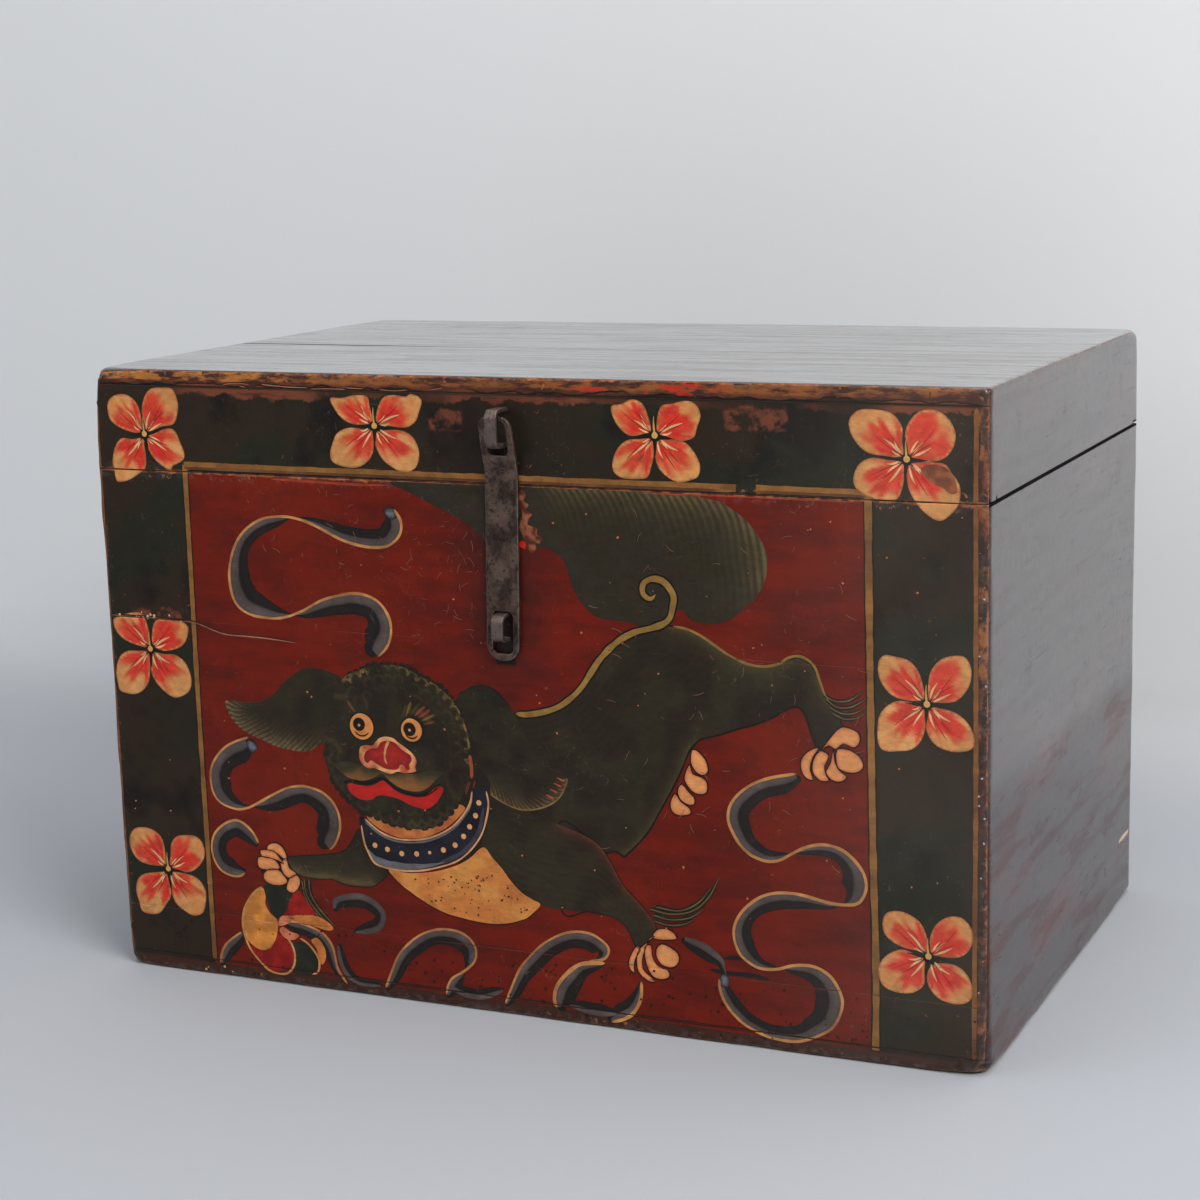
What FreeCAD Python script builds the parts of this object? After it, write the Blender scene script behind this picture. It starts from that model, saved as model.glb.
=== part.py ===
import FreeCAD, Part
import Sketcher
import os

# Storage trunk of painted boards: a box, a lid hinged along the back, and a hasp strap that
# hangs from the lid over a staple in the front. Millimetres, +Z up, +X to the right as seen
# from the front. The origin is the middle of the underside.

os.makedirs("parts", exist_ok=True)
doc = FreeCAD.newDocument("StorageTrunk")
sheet = doc.addObject("Spreadsheet::Sheet", "Sizes")

# Driving dimensions, one row each
sizes = {
    # Whole trunk
    "trunkWidth": 666,
    "trunkDepth": 424,
    "trunkHeight": 450,
    "lidHeight": 73,
    # Boards
    "wallThick": 15,
    "topThick": 12,
    "bottomThick": 12,
    "frontLowerHeight": 36,
    "frontMiddleHeight": 220,
    "backLowerHeight": 190,
    "sideLowerHeight": 170,
    "bottomFrontWidth": 141,
    "bottomMiddleWidth": 142,
    "topFrontWidth": 196,
    # Worn and eased edges
    "cornerRound": 5,
    "topRound": 3,
    "edgeEase": 0.8,
    # The lid bears on the box at the front only
    "lidGap": 2,
    "bearingLength": 20,
    # Wooden pegs at the corners and through the top
    "pegRadius": 4,
    "pegBite": 30,
    "topPegBite": 22,
    "fitClear": 0.1,
    # Hidden dowels between board edges
    "dowelRadius": 3,
    "dowelBite": 12,
    # Forged nails under the bottom and through the hinge leaves
    "nailRadius": 1.7,
    "nailBite": 22,
    "nailHeadRadius": 4,
    "nailHeadThick": 1.5,
    "hingeNailBite": 12,
    # Hinges
    "hingeSpacing": 420,
    "leafWidth": 34,
    "leafThick": 2.5,
    "boxLeafLength": 90,
    "lidLeafLength": 52,
    "leafEndRound": 12,
    "barrelRadius": 4.8,
    "barrelClear": 0.3,
    "middleKnuckle": 13.4,
    "pinRadius": 2.3,
    "pinClear": 0.08,
    "pinHeadRadius": 3.4,
    "pinHeadThick": 1.4,
    "boxNailPitch": 27,
    "lidNailPitch": 18,
    # Staples, bent from flat bar
    "stapleThick": 3,
    "stapleWidth": 9,
    "stapleBend": 4,
    "stapleClench": 14,
    "lidStapleDrop": 20,
    "lidStapleHeight": 27,
    "lidStapleReach": 19.5,
    "lidStapleClench": 7,
    "boxStapleHeight": 20,
    "boxStapleReach": 13,
    # Hasp strap, measured down from the bar that turns in the lid staple
    "haspX": -2.5,
    "haspTilt": 1.4,
    "eyeBarDrop": 3.4,
    "eyeBarSetIn": 3.5,
    "haspWidth": 25,
    "haspThick": 3.2,
    "haspBoardClear": 0.4,
    "haspLength": 167.5,
    "haspCrankDrop": 39,
    "eyeBar": 3.2,
    "eyeWidth": 15,
    "eyeHeight": 24,
    "eyeRound": 4,
    "eyeOuterRound": 8.5,
    "slotDrop": 133.2,
    "slotWidth": 15,
    "slotHeight": 29,
    "slotRound": 4,
    "slotSeat": 0.6,
    "haspEndRound": 11.5,
    # One overrun for every cut
    "overrun": 2,
}

for row, (alias, number) in enumerate(sizes.items(), start=1):
    sheet.set(f"A{row}", alias)
    sheet.set(f"B{row}", str(number))
    sheet.setAlias(f"B{row}", alias)
doc.recompute()

# Counts of pegs, dowels and nails, and where they stand along each board
pegShares = (0.22, 0.78)
lowBoardPegShares = (0.5,)
dowelShares = (0.15, 0.38, 0.62, 0.85)
wallNailShares = (0.05, 0.35, 0.65, 0.95)
topPegShares = (0.05, 0.35, 0.65, 0.95)
sideTopPegShares = (0.3, 0.7)

alongX = FreeCAD.Vector(1, 0, 0)
alongY = FreeCAD.Vector(0, 1, 0)
alongZ = FreeCAD.Vector(0, 0, 1)
turns = {
    "x": FreeCAD.Rotation(alongZ, alongX),
    "y": FreeCAD.Rotation(alongZ, alongY),
    "z": FreeCAD.Rotation(),
    "-y": FreeCAD.Rotation(alongZ, -alongY),
}
touch = 1e-4


def size(alias):
    return f"Sizes.{alias}"


# Planes that several pieces share, as sums of the driving dimensions
right = "(Sizes.trunkWidth / 2)"
left = "(-Sizes.trunkWidth / 2)"
front = "(-Sizes.trunkDepth / 2)"
back = "(Sizes.trunkDepth / 2)"
innerRight = f"({right} - Sizes.wallThick)"
innerLeft = f"({left} + Sizes.wallThick)"
innerFront = f"({front} + Sizes.wallThick)"
innerBack = f"({back} - Sizes.wallThick)"
wallFoot = size("bottomThick")
seam = "(Sizes.trunkHeight - Sizes.lidHeight)"
lidFoot = f"({seam} + Sizes.lidGap)"
railTop = "(Sizes.trunkHeight - Sizes.topThick)"
top = size("trunkHeight")
frontLowerSeam = f"({wallFoot} + Sizes.frontLowerHeight)"
frontUpperSeam = f"({frontLowerSeam} + Sizes.frontMiddleHeight)"
backSeam = f"({wallFoot} + Sizes.backLowerHeight)"
sideSeam = f"({wallFoot} + Sizes.sideLowerHeight)"
topSeam = f"({front} + Sizes.topFrontWidth)"
bottomFrontSeam = f"({front} + Sizes.bottomFrontWidth)"
bottomRearSeam = f"({bottomFrontSeam} + Sizes.bottomMiddleWidth)"
wallMiddle = "Sizes.wallThick / 2"
rightWallMiddle = f"({right} - {wallMiddle})"
leftWallMiddle = f"({left} + {wallMiddle})"
frontWallMiddle = f"({front} + {wallMiddle})"
backWallMiddle = f"({back} - {wallMiddle})"
topMiddle = "(Sizes.trunkHeight - Sizes.topThick / 2)"
hingeAxisY = f"({back} + Sizes.barrelClear + Sizes.barrelRadius)"
hingeAxisZ = f"({seam} + Sizes.lidGap / 2)"
lidStapleTop = f"({top} - Sizes.lidStapleDrop)"
haspPivotZ = f"({lidStapleTop} - Sizes.stapleThick - Sizes.eyeBarDrop)"
haspPivotReach = "(Sizes.lidStapleReach - Sizes.stapleThick - Sizes.eyeBarSetIn)"
haspPivotY = f"({front} - {haspPivotReach})"
slotMiddleDrop = "(Sizes.slotDrop + Sizes.slotHeight / 2)"
boxStapleX = f"(Sizes.haspX - {slotMiddleDrop} * sin(Sizes.haspTilt))"
boxStapleTop = f"({haspPivotZ} - Sizes.slotDrop - Sizes.slotSeat)"

finished = []


def bind(thing, **expressions):
    for name, expression in expressions.items():
        thing.setExpression(name.replace("_", "."), expression)


def place(thing, x, y, z):
    bind(thing, Placement_Base_x=x, Placement_Base_y=y, Placement_Base_z=z)


def edgeNames(shape, wanted):
    return [f"Edge{number}" for number, edge in enumerate(shape.Edges, start=1) if wanted(edge)]


def blockEdges(shape, direction, **sides):
    """Edges along one direction at the low or high side of the block that bounds a shape."""
    bound = shape.BoundBox
    limits = {
        "x": (bound.XMin, bound.XMax),
        "y": (bound.YMin, bound.YMax),
        "z": (bound.ZMin, bound.ZMax),
    }

    def wanted(edge):
        ends = [vertex.Point for vertex in edge.Vertexes]
        if len(ends) != 2 or (ends[1] - ends[0]).cross(direction).Length > touch:
            return False
        for axis, side in sides.items():
            limit = limits[axis][side == "high"]
            if any(abs(getattr(end, axis) - limit) > touch for end in ends):
                return False
        return True

    return edgeNames(shape, wanted)


def roundEdges(body, radius, chooseEdges, name):
    doc.recompute()
    base = body.Tip
    edges = chooseEdges(base.Shape)
    fillet = body.newObject("PartDesign::Fillet", name)
    fillet.Base = (base, edges)
    bind(fillet, Radius=radius)
    body.Tip = fillet
    return fillet


def spans(thing, fromX, toX, fromY, toY, fromZ, toZ):
    bind(thing, Length=f"({toX}) - ({fromX})", Width=f"({toY}) - ({fromY})",
         Height=f"({toZ}) - ({fromZ})")


def blockBody(label, *corners):
    """A body that is one block, modelled at its own corner and placed by that corner."""
    body = doc.addObject("PartDesign::Body", label)
    spans(body.newObject("PartDesign::AdditiveBox", label + "_block"), *corners)
    place(body, *corners[::2])
    doc.recompute()
    return body


def cylinder(name, radius, length, x, y, z, direction):
    rod = doc.addObject("Part::Cylinder", name)
    bind(rod, Radius=radius, Height=length)
    rod.Placement = FreeCAD.Placement(FreeCAD.Vector(), turns[direction])
    place(rod, x, y, z)
    return rod


def block(name, *corners):
    solid = doc.addObject("Part::Box", name)
    spans(solid, *corners)
    place(solid, *corners[::2])
    return solid


def group(name, members):
    bundle = doc.addObject("Part::Compound", name)
    bundle.Links = members
    return bundle


def finish(thing, label):
    thing.Label = label
    finished.append(thing)
    return thing


def cutFrom(body, label, tools):
    """The piece left when shared tools are cut out of its blank."""
    body.Label = label + "_blank"
    cut = doc.addObject("Part::Cut", label + "_cut")
    cut.Base = body
    cut.Tool = tools[0] if len(tools) == 1 else group(label + "_tools", tools)
    return finish(cut, label)


def between(low, high, share):
    return f"({low} + ({high} - {low}) * {share})"


# Pegs and dowels: each is a rod, and the hole it sits in is the same rod with the fit's clearance

def rods(name, radius, length, places, direction):
    """Rods at a list of places, with the compound of holes that they sit in."""
    made, holes = [], []
    for number, (x, y, z) in enumerate(places, start=1):
        made.append(cylinder(f"{name}{number}", radius, length, x, y, z, direction))
        holes.append(cylinder(f"{name}Hole{number}", f"{radius} + Sizes.fitClear",
                              length, x, y, z, direction))
    return group(name, made), group(name + "Holes", holes)


wallPegLength = "(Sizes.wallThick + Sizes.pegBite)"
cornerPegSides = (leftWallMiddle, rightWallMiddle)
frontBoards = (
    (wallFoot, frontLowerSeam, lowBoardPegShares),
    (frontLowerSeam, frontUpperSeam, pegShares),
    (frontUpperSeam, seam, pegShares),
)
backBoards = ((wallFoot, backSeam, pegShares), (backSeam, seam, pegShares))


def cornerPlaces(boards, y):
    return [(x, y, between(low, high, share))
            for low, high, shares in boards for share in shares for x in cornerPegSides]


frontPegs, frontPegHoles = rods("FrontPeg", size("pegRadius"), wallPegLength,
                                cornerPlaces(frontBoards, front), "y")
backPegs, backPegHoles = rods("BackPeg", size("pegRadius"), wallPegLength,
                              cornerPlaces(backBoards, back), "-y")
finish(frontPegs, "corner_pegs_front")
finish(backPegs, "corner_pegs_back")

dowelLength = "(2 * Sizes.dowelBite)"


def uprightDowels(x, y, height):
    return (x, y, f"({height} - Sizes.dowelBite)")


wallDowelPlaces = []
for share in dowelShares:
    acrossWidth = between(innerLeft, innerRight, share)
    alongDepth = between(innerFront, innerBack, share)
    wallDowelPlaces += [
        uprightDowels(acrossWidth, frontWallMiddle, frontLowerSeam),
        uprightDowels(acrossWidth, frontWallMiddle, frontUpperSeam),
        uprightDowels(acrossWidth, backWallMiddle, backSeam),
        uprightDowels(leftWallMiddle, alongDepth, sideSeam),
        uprightDowels(rightWallMiddle, alongDepth, sideSeam),
    ]
wallDowels, wallDowelHoles = rods("WallDowel", size("dowelRadius"), dowelLength,
                                  wallDowelPlaces, "z")
finish(wallDowels, "wall_edge_dowels")

topDowelPlaces = [(between(innerLeft, innerRight, share), f"({topSeam} - Sizes.dowelBite)", topMiddle)
                  for share in dowelShares]
topDowels, topDowelHoles = rods("TopDowel", size("dowelRadius"), dowelLength, topDowelPlaces, "y")
finish(topDowels, "lid_edge_dowels")

lidPegPlaces = [(x, front, between(seam, railTop, share)) for share in pegShares for x in cornerPegSides]
lidBackPegPlaces = [(x, back, z) for x, y, z in lidPegPlaces]
lidFrontPegs, lidFrontPegHoles = rods("LidFrontPeg", size("pegRadius"), wallPegLength,
                                      lidPegPlaces, "y")
lidBackPegs, lidBackPegHoles = rods("LidBackPeg", size("pegRadius"), wallPegLength,
                                    lidBackPegPlaces, "-y")
finish(lidFrontPegs, "lid_corner_pegs_front")
finish(lidBackPegs, "lid_corner_pegs_back")

topPegFoot = f"({railTop} - Sizes.topPegBite)"
topPegPlaces = []
for share in topPegShares:
    acrossWidth = between(innerLeft, innerRight, share)
    topPegPlaces += [(acrossWidth, frontWallMiddle, topPegFoot), (acrossWidth, backWallMiddle, topPegFoot)]
for share in sideTopPegShares:
    alongDepth = between(innerFront, innerBack, share)
    topPegPlaces += [(x, alongDepth, topPegFoot) for x in cornerPegSides]
topPegs, topPegHoles = rods("TopPeg", size("pegRadius"), "(Sizes.topThick + Sizes.topPegBite)",
                            topPegPlaces, "z")
finish(topPegs, "lid_top_pegs")


# Forged nails: a round shank under a flat head

def nails(name, places, direction, bite, carried, headFoot):
    """Nails whose heads lie on or in what they carry. headFoot is the head's start along the nail."""
    made, holes = [], []
    for number, (x, y, z) in enumerate(places, start=1):
        shank = cylinder(f"{name}Shank{number}", size("nailRadius"), f"{carried} + {bite}",
                         x, y, z, direction)
        headPlace = headFoot(x, y, z)
        head = cylinder(f"{name}Head{number}", size("nailHeadRadius"), size("nailHeadThick"),
                        *headPlace, direction)
        nail = doc.addObject("Part::Fuse", f"{name}{number}")
        nail.Base = shank
        nail.Tool = head
        made.append(nail)
        holes.append(cylinder(f"{name}Hole{number}", "Sizes.nailRadius + Sizes.fitClear",
                              f"{carried} + {bite}", x, y, z, direction))
        holes.append(cylinder(f"{name}Seat{number}", "Sizes.nailHeadRadius + Sizes.fitClear",
                              size("nailHeadThick"), *headPlace, direction))
    return group(name, made), group(name + "Holes", holes)


bottomNailPlaces = []
for share in wallNailShares:
    acrossWidth = between(innerLeft, innerRight, share)
    bottomNailPlaces += [(acrossWidth, frontWallMiddle, "0"), (acrossWidth, backWallMiddle, "0")]
bottomBoards = (
    ("bottom_board_front", front, bottomFrontSeam),
    ("bottom_board_middle", bottomFrontSeam, bottomRearSeam),
    ("bottom_board_rear", bottomRearSeam, back),
)
for label, nearSide, farSide in bottomBoards:
    boardMiddle = f"(({nearSide} + {farSide}) / 2)"
    bottomNailPlaces += [(leftWallMiddle, boardMiddle, "0"), (rightWallMiddle, boardMiddle, "0")]
bottomNails, bottomNailHoles = nails("BottomNail", bottomNailPlaces, "z", size("nailBite"),
                                     size("bottomThick"), lambda x, y, z: (x, y, z))
finish(bottomNails, "bottom_nails")

hingeSides = {"left": "(-Sizes.hingeSpacing / 2)", "right": "(Sizes.hingeSpacing / 2)"}
hingeNailSteps = {"box": (1, 2, 3), "lid": (1, 2)}


def hingeNails(carrier, sign):
    """The nails of both leaves on one carrier, driven forwards through the leaf into the wood."""
    places = [(x, f"({back} + Sizes.leafThick)",
               f"({hingeAxisZ} {sign} Sizes.{carrier}NailPitch * {step})")
              for x in hingeSides.values() for step in hingeNailSteps[carrier]]
    return nails(f"{carrier.capitalize()}HingeNail", places, "-y", size("hingeNailBite"), size("leafThick"),
                 lambda x, y, z: (x, f"{y} + Sizes.nailHeadThick", z))


boxHingeNails, boxHingeNailHoles = hingeNails("box", "-")
lidHingeNails, lidHingeNailHoles = hingeNails("lid", "+")
finish(boxHingeNails, "hinge_nails_box")
finish(lidHingeNails, "hinge_nails_lid")


# Staples: flat bar bent to a loop whose two legs go through the board and are turned over inside

def outlinePad(label, plane, corners, width):
    """A body padded both ways from a closed outline of straight lines on one of its planes."""
    body = doc.addObject("PartDesign::Body", label)
    sketch = body.newObject("Sketcher::SketchObject", label + "_outline")
    support = next(part for part in body.Origin.OriginFeatures if part.Role == plane)
    sketch.AttachmentSupport = [(support, "")]
    sketch.MapMode = "FlatFace"
    spots = [FreeCAD.Vector(body.evalExpression(across), body.evalExpression(up), 0)
             for across, up in corners]
    for start, end in zip(spots, spots[1:] + spots[:1]):
        sketch.addGeometry(Part.LineSegment(start, end), False)
    for number, (across, up) in enumerate(corners):
        following = (number + 1) % len(corners)
        sketch.addConstraint(Sketcher.Constraint("Coincident", number, 2, following, 1))
        for kind, expression, spot in (("DistanceX", across, spots[number].x),
                                       ("DistanceY", up, spots[number].y)):
            index = sketch.addConstraint(Sketcher.Constraint(kind, -1, 1, number, 1, spot))
            sketch.setExpression(f"Constraints[{index}]", expression)
    doc.recompute()
    pad = body.newObject("PartDesign::Pad", label + "_pad")
    pad.Profile = sketch
    pad.SideType = "Symmetric"
    bind(pad, Length=width)
    doc.recompute()
    return body


def bendEdges(body, y, *heights):
    """Chooses the edges across a bent bar at one depth and the given heights."""
    depth = body.evalExpression(y)
    levels = [body.evalExpression(height) for height in heights]

    def wanted(edge):
        ends = [vertex.Point for vertex in edge.Vertexes]
        if len(ends) != 2 or (ends[1] - ends[0]).cross(alongX).Length > touch:
            return False
        level = ends[0].z
        return abs(ends[0].y - depth) < touch and any(abs(level - one) < touch for one in levels)

    return lambda shape: edgeNames(shape, wanted)


def staple(label, x, topZ, height, reach, clenchUp, clenchDown):
    """A staple in a front board. Its own origin is on the board's face, at the top of its bar."""
    inside = size("wallThick")
    turned = "(Sizes.wallThick + Sizes.stapleThick)"
    innerReach = f"(-{reach} + Sizes.stapleThick)"
    underTop = "(-Sizes.stapleThick)"
    overFoot = f"(-{height} + Sizes.stapleThick)"
    corners = [
        (turned, clenchUp),
        (inside, clenchUp),
        (inside, "0"),
        (f"-{reach}", "0"),
        (f"-{reach}", f"-{height}"),
        (inside, f"-{height}"),
        (inside, f"-{height} - {clenchDown}"),
        (turned, f"-{height} - {clenchDown}"),
        (turned, overFoot),
        (innerReach, overFoot),
        (innerReach, underTop),
        (turned, underTop),
    ]
    body = outlinePad(label, "YZ_Plane", corners, size("stapleWidth"))
    roundEdges(body, "Sizes.stapleBend + Sizes.stapleThick",
               bendEdges(body, f"-{reach}", "0", f"-{height}"), label + "_bend")
    roundEdges(body, size("stapleBend"),
               bendEdges(body, innerReach, underTop, overFoot), label + "_innerBend")
    roundEdges(body, size("stapleThick"),
               bendEdges(body, turned, underTop, overFoot), label + "_clench")
    place(body, x, front, topZ)
    legs = []
    for name, legTop in (("Upper", topZ), ("Lower", f"({topZ} - {height} + Sizes.stapleThick)")):
        legs.append(block(label + name + "Slot",
                          f"{x} - Sizes.stapleWidth / 2 - Sizes.fitClear",
                          f"({x} + Sizes.stapleWidth / 2 + Sizes.fitClear)",
                          f"{front} - Sizes.overrun", f"({innerFront} + Sizes.overrun)",
                          f"{legTop} - Sizes.stapleThick - Sizes.fitClear",
                          f"({legTop} + Sizes.fitClear)"))
    finish(body, label)
    return group(label + "Slots", legs)


lidStapleSlots = staple("lid_staple", size("haspX"), lidStapleTop, size("lidStapleHeight"),
                        size("lidStapleReach"), size("lidStapleClench"), size("stapleClench"))
boxStapleSlots = staple("padlock_staple", boxStapleX, boxStapleTop, size("boxStapleHeight"),
                        size("boxStapleReach"), size("stapleClench"), size("stapleClench"))


# Hinges: two leaves with rolled knuckles round one pin. A leaf's own origin is on the hinge axis.

def bodyBlock(body, kind, name, *corners):
    solid = body.newObject(f"PartDesign::{kind}Box", name)
    spans(solid, *corners)
    place(solid, *corners[::2])
    doc.recompute()
    return solid


def bodyRod(body, kind, name, radius, length):
    """A rod along X, centred on the body's own origin."""
    rod = body.newObject(f"PartDesign::{kind}Cylinder", name)
    bind(rod, Radius=radius, Height=length)
    rod.Placement = FreeCAD.Placement(FreeCAD.Vector(), turns["x"])
    place(rod, f"-({length}) / 2", "0", "0")
    doc.recompute()
    return rod


leafBack = "(-Sizes.barrelClear - Sizes.barrelRadius)"
leafFace = f"({leafBack} + Sizes.leafThick)"
leafHalf = "(Sizes.leafWidth / 2)"
knuckleHalf = "(Sizes.middleKnuckle / 2)"
barrelFar = "(Sizes.barrelRadius + Sizes.overrun)"
barrelCutBack = f"({leafBack} - Sizes.overrun)"
outerReach = "(Sizes.barrelRadius + Sizes.barrelClear)"


def hingeLeaf(carrier, side, x):
    label = f"hinge_leaf_{carrier}_{side}"
    body = doc.addObject("PartDesign::Body", label + "_blank")
    farEnd = {"box": "(-Sizes.boxLeafLength)", "lid": size("lidLeafLength")}[carrier]
    low, high = (farEnd, "0") if carrier == "box" else ("0", farEnd)
    bodyBlock(body, "Additive", label + "_plate", f"(-{leafHalf})", leafHalf, leafBack, leafFace, low, high)
    farSide = "low" if carrier == "box" else "high"
    roundEdges(body, size("leafEndRound"),
               lambda shape: blockEdges(shape, alongY, z=farSide), label + "_end")
    bodyRod(body, "Additive", label + "_barrel", size("barrelRadius"), size("leafWidth"))
    if carrier == "box":
        bodyBlock(body, "Subtractive", label + "_gap",
                  f"(-{knuckleHalf} - Sizes.barrelClear)", f"({knuckleHalf} + Sizes.barrelClear)",
                  barrelCutBack, barrelFar, f"(-{outerReach})", barrelFar)
    else:
        for name, fromX, toX in (("_gapLeft", f"(-{leafHalf} - Sizes.overrun)", f"(-{knuckleHalf})"),
                                 ("_gapRight", knuckleHalf, f"({leafHalf} + Sizes.overrun)")):
            bodyBlock(body, "Subtractive", label + name, fromX, toX,
                      barrelCutBack, barrelFar, f"(-{barrelFar})", outerReach)
    bodyRod(body, "Subtractive", label + "_bore", "Sizes.pinRadius + Sizes.pinClear",
            "Sizes.leafWidth + 2 * Sizes.overrun")
    place(body, x, hingeAxisY, hingeAxisZ)
    holes = boxHingeNailHoles if carrier == "box" else lidHingeNailHoles
    cutFrom(body, label, [holes])


def hingePin(side, x):
    label = f"hinge_pin_{side}"
    halfLength = "(Sizes.leafWidth / 2 + Sizes.fitClear)"
    shank = cylinder(label + "_shank", size("pinRadius"), f"2 * {halfLength}",
                     f"({x} - {halfLength})", hingeAxisY, hingeAxisZ, "x")
    heads = [
        cylinder(label + "_headLeft", size("pinHeadRadius"), size("pinHeadThick"),
                 f"({x} - {halfLength} - Sizes.pinHeadThick)", hingeAxisY, hingeAxisZ, "x"),
        cylinder(label + "_headRight", size("pinHeadRadius"), size("pinHeadThick"),
                 f"({x} + {halfLength})", hingeAxisY, hingeAxisZ, "x"),
    ]
    pin = doc.addObject("Part::MultiFuse", label)
    pin.Shapes = [shank] + heads
    finish(pin, label)


for side, x in hingeSides.items():
    hingeLeaf("box", side, x)
    hingeLeaf("lid", side, x)
    hingePin(side, x)


# Hasp strap: its cranked side outline and its front outline, crossed. Its origin is the pivot.

strapMiddle = f"({haspPivotReach} - Sizes.haspBoardClear - Sizes.haspThick / 2)"
halfThick = "Sizes.haspThick / 2"
halfBar = "(Sizes.eyeBar / 2)"
topLean = f"({strapMiddle} / Sizes.haspCrankDrop * {halfBar})"
strapSide = outlinePad("hasp_side", "YZ_Plane", [
    (f"{strapMiddle} + {halfThick}", "-Sizes.haspLength"),
    (f"{strapMiddle} + {halfThick}", "-Sizes.haspCrankDrop"),
    (f"-{topLean} + {halfThick}", halfBar),
    (f"-{topLean} - {halfThick}", halfBar),
    (f"{strapMiddle} - {halfThick}", "-Sizes.haspCrankDrop"),
    (f"{strapMiddle} - {halfThick}", "-Sizes.haspLength"),
], "Sizes.haspWidth + 2 * Sizes.overrun")

strapFront = doc.addObject("PartDesign::Body", "hasp_front")
strapHalf = "(Sizes.haspWidth / 2)"
blankNear = f"(-{haspPivotReach})"
blankFar = f"({haspPivotReach} + Sizes.haspThick)"
bodyBlock(strapFront, "Additive", "hasp_blank", f"(-{strapHalf})", strapHalf, blankNear, blankFar,
          "(-Sizes.haspLength)", halfBar)
roundEdges(strapFront, size("haspEndRound"),
           lambda shape: blockEdges(shape, alongY, z="low"), "hasp_foot")
roundEdges(strapFront, size("eyeOuterRound"),
           lambda shape: blockEdges(shape, alongY, z="high"), "hasp_crown")


def strapHole(name, width, fromZ, toZ, radius):
    """A hole through the strap with rounded corners."""
    half = strapFront.evalExpression(f"{width} / 2")
    levels = [strapFront.evalExpression(level) for level in (fromZ, toZ)]
    bodyBlock(strapFront, "Subtractive", name, f"(-{width} / 2)", f"({width} / 2)",
              f"({blankNear} - Sizes.overrun)", f"({blankFar} + Sizes.overrun)", fromZ, toZ)

    def wanted(edge):
        ends = [vertex.Point for vertex in edge.Vertexes]
        if len(ends) != 2 or (ends[1] - ends[0]).cross(alongY).Length > touch:
            return False
        return (abs(abs(ends[0].x) - half) < touch
                and any(abs(ends[0].z - level) < touch for level in levels))

    roundEdges(strapFront, radius, lambda shape: edgeNames(shape, wanted), name + "_corners")


strapHole("hasp_eye", size("eyeWidth"), f"(-{halfBar} - Sizes.eyeHeight)", f"(-{halfBar})",
          size("eyeRound"))
strapHole("hasp_slot", size("slotWidth"), "(-Sizes.slotDrop - Sizes.slotHeight)", "(-Sizes.slotDrop)",
          size("slotRound"))
for outline in (strapSide, strapFront):
    outline.Placement = FreeCAD.Placement(FreeCAD.Vector(), FreeCAD.Rotation(alongY, 1))
    bind(outline, Placement_Rotation_Angle=size("haspTilt"))
    place(outline, size("haspX"), haspPivotY, haspPivotZ)
strap = doc.addObject("Part::Common", "hasp_cross")
strap.Base = strapSide
strap.Tool = strapFront
finish(strap, "hasp_strap")


# Boards

def wallBoard(label, x, y, z, tools, outerFace):
    """A board of a wall or rail. Its long edges on the outer face are eased."""
    body = blockBody(label, *x, *y, *z)
    axis, side = outerFace
    if axis == "y":
        roundEdges(body, size("cornerRound"),
                   lambda shape: blockEdges(shape, alongZ, y=side), label + "_corners")
    lengthwise = alongX if axis == "y" else alongY
    roundEdges(body, size("edgeEase"),
               lambda shape: blockEdges(shape, lengthwise, **{axis: side}), label + "_eased")
    return cutFrom(body, label, tools)


fullWidth = (left, right)
fullDepth = (front, back)
frontWall = (front, innerFront)
backWall = (innerBack, back)
sideSpan = (innerFront, innerBack)

wallBoard("front_board_lower", fullWidth, frontWall, (wallFoot, frontLowerSeam),
          [frontPegHoles, wallDowelHoles, bottomNailHoles], ("y", "low"))
wallBoard("front_board_middle", fullWidth, frontWall, (frontLowerSeam, frontUpperSeam),
          [frontPegHoles, wallDowelHoles, boxStapleSlots], ("y", "low"))
wallBoard("front_board_upper", fullWidth, frontWall, (frontUpperSeam, seam),
          [frontPegHoles, wallDowelHoles, boxStapleSlots], ("y", "low"))
wallBoard("back_board_lower", fullWidth, backWall, (wallFoot, backSeam),
          [backPegHoles, wallDowelHoles, bottomNailHoles, boxHingeNailHoles], ("y", "high"))
wallBoard("back_board_upper", fullWidth, backWall, (backSeam, seam),
          [backPegHoles, wallDowelHoles, boxHingeNailHoles], ("y", "high"))

for side, span, outer in (("left", (left, innerLeft), "low"), ("right", (innerRight, right), "high")):
    wallBoard(f"{side}_side_board_lower", span, sideSpan, (wallFoot, sideSeam),
              [frontPegHoles, backPegHoles, wallDowelHoles, bottomNailHoles], ("x", outer))
    wallBoard(f"{side}_side_board_upper", span, sideSpan, (sideSeam, seam),
              [frontPegHoles, backPegHoles, wallDowelHoles], ("x", outer))

wallBoard("lid_front_rail", fullWidth, frontWall, (seam, railTop),
          [lidFrontPegHoles, topPegHoles, lidStapleSlots], ("y", "low"))
wallBoard("lid_back_rail", fullWidth, backWall, (lidFoot, railTop),
          [lidBackPegHoles, topPegHoles, lidHingeNailHoles], ("y", "high"))

for side, span, outer in (("left", (left, innerLeft), "low"), ("right", (innerRight, right), "high")):
    relief = block(f"{side}Relief", f"{span[0]} - Sizes.overrun", f"({span[1]} + Sizes.overrun)",
                   f"({innerFront} + Sizes.bearingLength)", f"({innerBack} + Sizes.overrun)",
                   f"({seam} - Sizes.overrun)", lidFoot)
    wallBoard(f"lid_{side}_rail", span, sideSpan, (seam, railTop),
              [lidFrontPegHoles, lidBackPegHoles, topPegHoles, relief], ("x", outer))


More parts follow.
